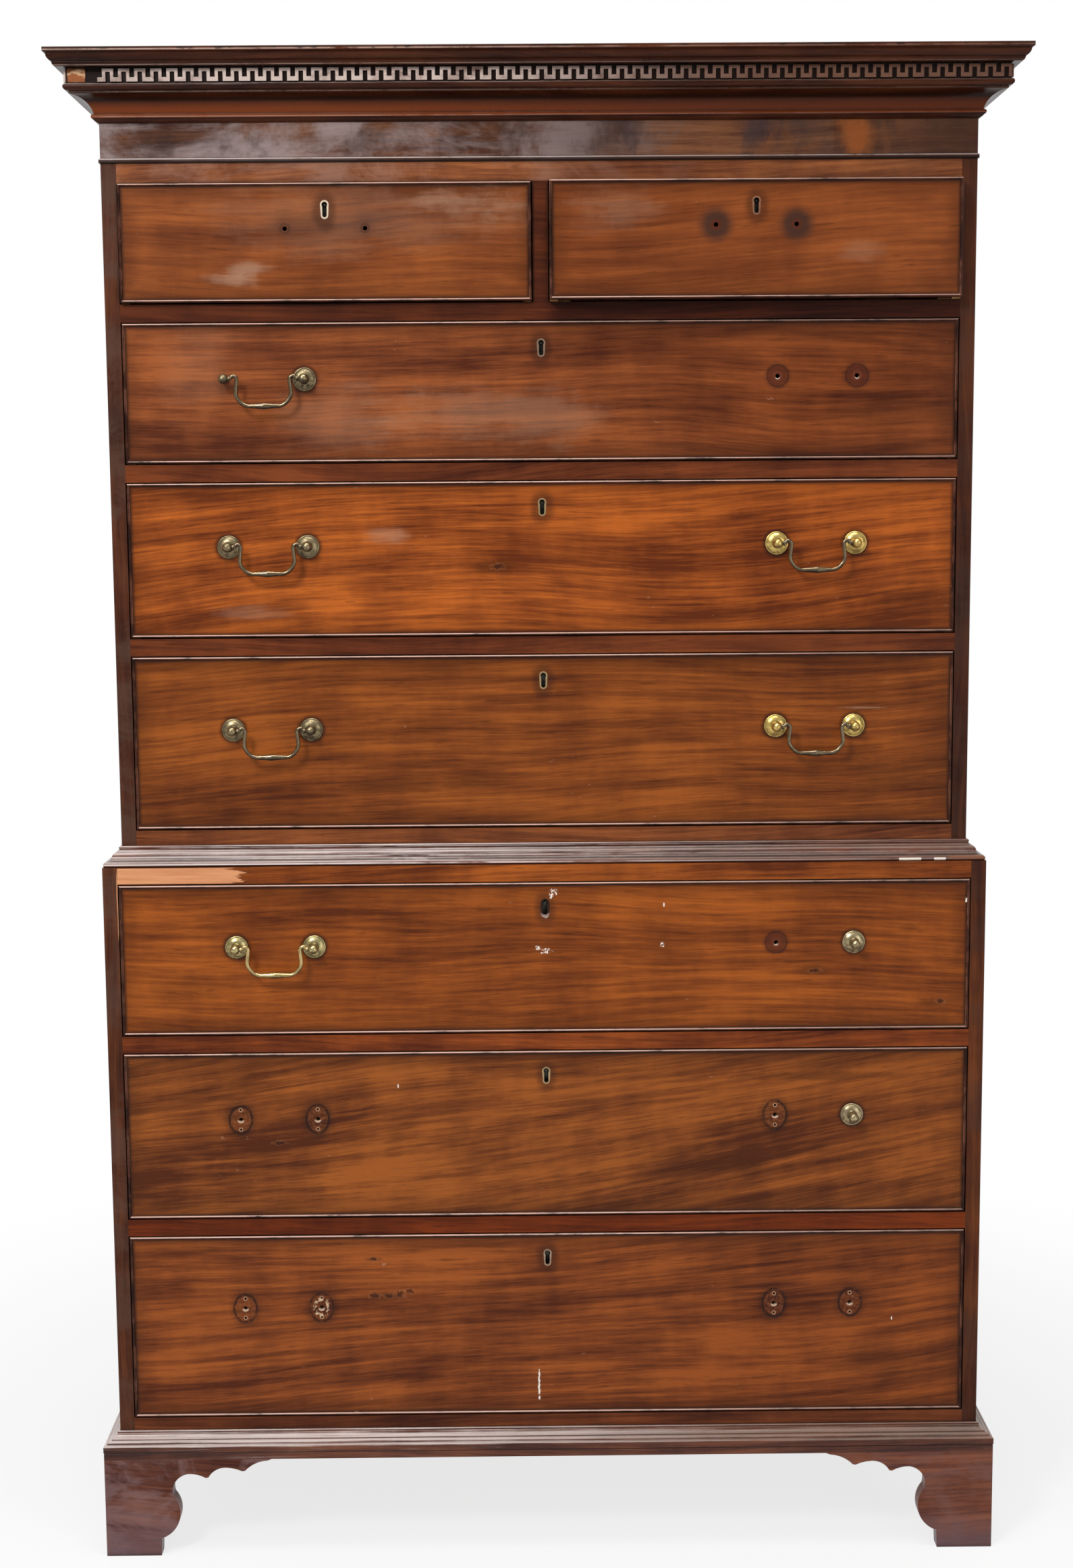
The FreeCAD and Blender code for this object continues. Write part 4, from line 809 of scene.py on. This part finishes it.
# The stiles: grey haze, partly painted sheen, darker on the right as painted light falloff
grey_stile = bloom_and_sheen((rgb(82, 60, 50), rgb(60, 42, 34)), (0.55, 0.40), 9.0)
for name, colour, seed, extra in (
        ("upper_left_side", rgb(70, 35, 20), 11.0, grey_stile),
        ("upper_right_side", rgb(60, 28, 14), 12.0, grey_stile),
        ("lower_left_side", rgb(76, 38, 19), 13.0, cracked_stile),
        ("lower_right_side", rgb(80, 39, 17), 14.0, grey_stile)):
    wear(name, case_wood(name + "_wood", colour, seed, "Z", crevice_shade=0.75, extra=extra))
case_looks = {
    "upper_drawer_rails": dict(
        middle=rgb(88, 41, 19), seed=15.0, crevice_shade=0.8,
        # Painted shadow: darker above the upper top drawer, under the pulled-out short drawers,
        # more so at the right
        extra=darker(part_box("upper_top_drawer_front")[1].z, 2.0, (0.62, 0.58, 0.62, 1.0),
                     (0.60, 0.52, 0.50, 1.0))),
    "lower_drawer_rails": dict(
        middle=rgb(118, 55, 20), seed=16.0, crevice_shade=0.8,
        extra=darker(0.0, 0.56, (0.55, 0.41, 0.26, 1.0))),
    "upper_top_board": dict(
        middle=rgb(120, 68, 38), seed=17.0, crevice_shade=0.7,
        extra=bloom_and_sheen((rgb(156, 116, 98), rgb(96, 60, 42)), (0.50, 0.30), 8.0)),
    "lower_top_board": dict(middle=rgb(130, 65, 22), seed=18.0, crevice_shade=0.7, extra=lost_veneer),
    "upper_bottom_board": dict(middle=rgb(106, 56, 29), seed=19.0, crevice_shade=0.7),
    "lower_bottom_board": dict(middle=rgb(88, 42, 19), seed=20.0, crevice_shade=0.7),
    "cornice_moulding": dict(
        middle=rgb(56, 25, 12), seed=21.0, gloss=0.28, dust_and_sheen=(0.35, 0.20), corner=UPPER_CORNER,
        crevice_shade=0.9, extra=bare_fascia),
    "frieze_frame": dict(middle=rgb(92, 56, 38), seed=22.0, gloss=0.30, corner=UPPER_CORNER,
                         crevice_shade=0.6, extra=frieze_haze_and_sheen),
    "waist_moulding": dict(
        middle=rgb(84, 42, 27), seed=23.0, gloss=0.26, dust_and_sheen=(0.92, 0.50), corner=UPPER_CORNER,
        crevice_shade=0.95, extra=chipped_waist, specular=0.20, coat=0.10, level=(0.15, 1.00)),
    "base_moulding": dict(
        middle=rgb(86, 46, 31), seed=24.0, gloss=0.26, dust_and_sheen=(0.90, 0.60), corner=LOWER_CORNER,
        crevice_shade=0.95, specular=0.20, coat=0.10, level=(0.15, 0.90)),
    "front_feet": dict(middle=rgb(100, 56, 40), seed=25.0, gloss=0.32, corner=LOWER_CORNER,
                       crevice_shade=0.6, extra=purple_feet),
    "rear_feet": dict(middle=rgb(92, 58, 44), seed=26.0, direction="Y", crevice_shade=0.5,
                      extra=purple_feet),
    # The fret: pale haze, partly a painted highlight, paler at the left as painted light falloff
    "greek_key_fret": dict(
        middle=rgb(98, 68, 55), seed=27.0, gloss=0.34, crevice_shade=0.55, spread=0.8,
        extra=bloom_and_sheen((rgb(206, 186, 176), rgb(112, 80, 66)), (0.90, 0.45), 16.0, 0.28, 0.54)),
}
for name, look in case_looks.items():
    wear(name, case_wood(name + "_wood", **look))


# ---------------------------------------------------------------- linings
def dovetails(front, box):
    """Dovetails where a drawer's sides meet its front and its back."""
    low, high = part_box(front)
    inner_low, inner_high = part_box(box)
    face = low.y + BEAD_PROUD

    def paint(g, colour):
        height = inner_high.z - inner_low.z
        count = max(3, round(height / 0.045))
        pitch = height / count
        phase = g.math("PINGPONG", g.minus(g.z, inner_low.z), pitch / 2)
        ahead = g.minus(g.y, face + 0.008)
        flare = g.math("MULTIPLY_ADD", ahead, 0.30, 0.0022)
        outside = g.math("GREATER_THAN", g.off(g.facing()[0], 0.0), 0.7)
        pin = g.times(g.math("LESS_THAN", phase, flare), g.step(ahead, 0.0122, 0.0119), outside)
        colour = g.mix(pin, colour, rgb(92, 46, 26))
        line = g.times(g.step(g.off(phase, flare), 0.0005, 0.0002),
                       g.step(ahead, 0.0124, 0.0121), outside)
        colour = g.mix((line, 0.8), colour, rgb(40, 24, 16))
        behind = g.minus(inner_high.y, g.y)
        rear = g.times(g.math("LESS_THAN", phase,
                              g.math("MULTIPLY_ADD", behind, 0.30, 0.0022)),
                       g.math("LESS_THAN", behind, 0.009), outside)
        return g.mix((rear, 0.55), colour, rgb(84, 62, 40))
    return paint


pine_flat = plain_wood("pine_flat", rgb(90, 64, 44), rgb(130, 96, 66), rgb(156, 120, 86), "X",
                       33.0, dusty=0.6)
for index, drawer in enumerate(fronts):
    low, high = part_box(drawer + "_box")
    back = (low.x + SIDE_THICK, high.x - SIDE_THICK, high.y - BACK_THICK)
    wear(drawer + "_box",
         plain_wood(drawer + "_oak", rgb(98, 66, 40), rgb(152, 110, 69), rgb(190, 148, 102), "Y",
                    40.0 + index, panel=back,
                    extra=dovetails(drawer + "_front", drawer + "_box")))
for name, seed in (("upper_back_boards", 32.0), ("lower_back_boards", 36.0)):
    low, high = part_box(name)
    wear(name, plain_wood(name + "_pine", rgb(96, 66, 44), rgb(138, 100, 68),
                          rgb(168, 128, 90), "Z", seed,
                          (low.x - JOINT_GAP / 2, (high.x - low.x) / BACK_BOARDS)))
for name in ("upper_dustboards", "lower_dustboards", "cornice_top_board"):
    wear(name, pine_flat)

# ---------------------------------------------------------------- metalwork
olive = (rgb(152, 136, 102), rgb(60, 48, 34), 0.55, 0.32)
golden = (rgb(232, 200, 118), rgb(110, 86, 44), 0.40, 0.24)
pale = (rgb(198, 182, 128), rgb(92, 76, 46), 0.45, 0.26)
lone = (rgb(182, 166, 128), rgb(84, 66, 44), 0.45, 0.28)
bronze = (rgb(134, 116, 90), rgb(40, 30, 21), 0.28, 0.24)
straw = (rgb(206, 180, 124), rgb(84, 64, 36), 0.25, 0.24)
cream = (rgb(186, 158, 118), rgb(112, 86, 58), 0.35, 0.34)
ivory = (rgb(240, 222, 196), rgb(158, 132, 104), 0.30, 0.34)
lilac = (rgb(168, 140, 118), rgb(86, 64, 50), 0.40, 0.34)
copper = (rgb(168, 120, 92), rgb(84, 52, 36), 0.50, 0.38)
steel = iron("iron")
finishes = {
    "short_left_drawer": (pale, pale, ivory), "short_right_drawer": (pale, pale, copper),
    "upper_top_drawer": (olive, olive, lilac), "upper_middle_drawer": (olive, golden, cream),
    "upper_bottom_drawer": (olive, golden, cream), "lower_top_drawer": (pale, lone, cream),
    "lower_middle_drawer": (lone, lone, cream), "lower_bottom_drawer": (lone, lone, lilac)}
bail_finishes = {"lower_top_drawer": straw}
for drawer, (left, right, plate) in finishes.items():
    low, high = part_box(drawer + "_front")
    middle_x = (low.x + high.x) / 2
    wear(drawer + "_hardware", brass(drawer + "_brass", left, right, plate, low.y + BEAD_PROUD,
                                     middle_x))
    wear(drawer + "_lock_bolt", steel)
for name in nodes:
    if "_bail_" in name:
        metal = bail_finishes.get(name.split("_bail_")[0], bronze)
        # The bails' undersides get strong painted shade
        wear(name, brass(name + "_brass", metal, metal, metal, 0.0, 0.0, 0.85))

# ---------------------------------------------------------------- floor, light and camera
AMBIENT = 0.70  # how bright the room is
FLOOR_REACH = 30.0  # half the floor's side
SHADOW_ENDS = (0.55, 1.60)  # from here to there the floor's shadow fades to white
SHADOW_SHOWN = 0.22  # how much of it the camera sees

floor_mesh = bpy.data.meshes.new("floor")
floor_mesh.from_pydata([(x * FLOOR_REACH, y * FLOOR_REACH, 0)
                        for x, y in ((-1, -1), (1, -1), (1, 1), (-1, 1))], [], [(0, 1, 2, 3)])
floor = bpy.data.objects.new("floor", floor_mesh)
scene.collection.objects.link(floor)
g = Graph("floor_paper")
paths = g.add("ShaderNodeLightPath").outputs
seen = g.most(paths["Is Camera Ray"], paths["Is Glossy Ray"], paths["Is Transmission Ray"])
away = g.math("SQRT", g.plus(g.times(g.x, g.x), g.times(g.y, g.y)))
share = g.times(seen, g.math("MULTIPLY_ADD", g.step(away, *SHADOW_ENDS), SHADOW_SHOWN,
                             1.0 - SHADOW_SHOWN))
floor_mesh.materials.append(g.output(g.run(
    "MixShader", share, g.run("BsdfDiffuse", (0.80, 0.80, 0.80, 1.0)),
    g.run("Emission", WHITE, 1.0))))

# The world: a white backdrop behind the chest, and a dimmer room in front of it
scene.world = bpy.data.worlds.new("studio")
g = Graph("studio", scene.world)
paths = g.add("ShaderNodeLightPath").outputs
sky = g.ramp(g.z, (0.0, (0.30, 0.30, 0.31, 1.0)), (1.0, (0.95, 0.95, 0.95, 1.0)))
mirrored = g.most(paths["Is Glossy Ray"], paths["Is Transmission Ray"])
shown = g.most(paths["Is Camera Ray"], g.times(mirrored, g.step(g.y, -0.10, 0.25)))
g.output(g.run("MixShader", shown, g.run("Background", sky, AMBIENT),
               g.run("Background", WHITE, 1.0)), "World")


def softbox(name, place, target, width, height, power):
    """A lamp whose light comes from a rectangle, aimed at the target."""
    light = bpy.data.lights.new(name, "AREA")
    light.shape = "RECTANGLE"
    light.size = width
    light.size_y = height
    light.energy = power
    lamp = bpy.data.objects.new(name, light)
    scene.collection.objects.link(lamp)
    lamp.location = place
    aim = Vector(target) - Vector(place)
    lamp.rotation_euler = aim.to_track_quat("-Z", "Y").to_euler()


softbox("key", (-1.6, -2.8, 3.3), (0.0, -0.25, 1.1), 0.8, 0.8, 78.0)
softbox("fill", (2.6, -3.4, 1.6), (0.0, -0.25, 0.9), 2.0, 2.2, 22.0)
softbox("overhead", (0.0, -0.9, 3.6), (0.0, -0.25, 0.6), 1.8, 0.8, 40.0)

# The camera that the photograph's perspective was solved for
PHOTO_HEIGHT, FOCAL_LENGTH = 2324, 3215.3  # in pixels
CAMERA_PLACE = (-0.0296, -2.9285, 1.328)
CAMERA_TURN = (7.168, 0.430, -0.429)  # down, to the right and rolled, in degrees
SENSOR = 36.0
camera_data = bpy.data.cameras.new("camera")
camera = bpy.data.objects.new("camera", camera_data)
scene.collection.objects.link(camera)
pitch, yaw, roll = (math.radians(angle) for angle in CAMERA_TURN)
forward = Vector((math.sin(yaw) * math.cos(pitch), math.cos(yaw) * math.cos(pitch),
                  -math.sin(pitch)))
level = Vector((math.cos(yaw), -math.sin(yaw), 0.0))
upright = level.cross(forward)
right = level * math.cos(roll) + upright * math.sin(roll)
up = upright * math.cos(roll) - level * math.sin(roll)
turn = Matrix((right, up, -forward)).transposed().to_4x4()
camera.matrix_world = Matrix.Translation(CAMERA_PLACE) @ turn
camera_data.sensor_fit = "AUTO"
camera_data.sensor_width = SENSOR
camera_data.lens = FOCAL_LENGTH * SENSOR / PHOTO_HEIGHT
camera_data.clip_end = 200.0
scene.camera = camera

scene.view_settings.view_transform = "Standard"
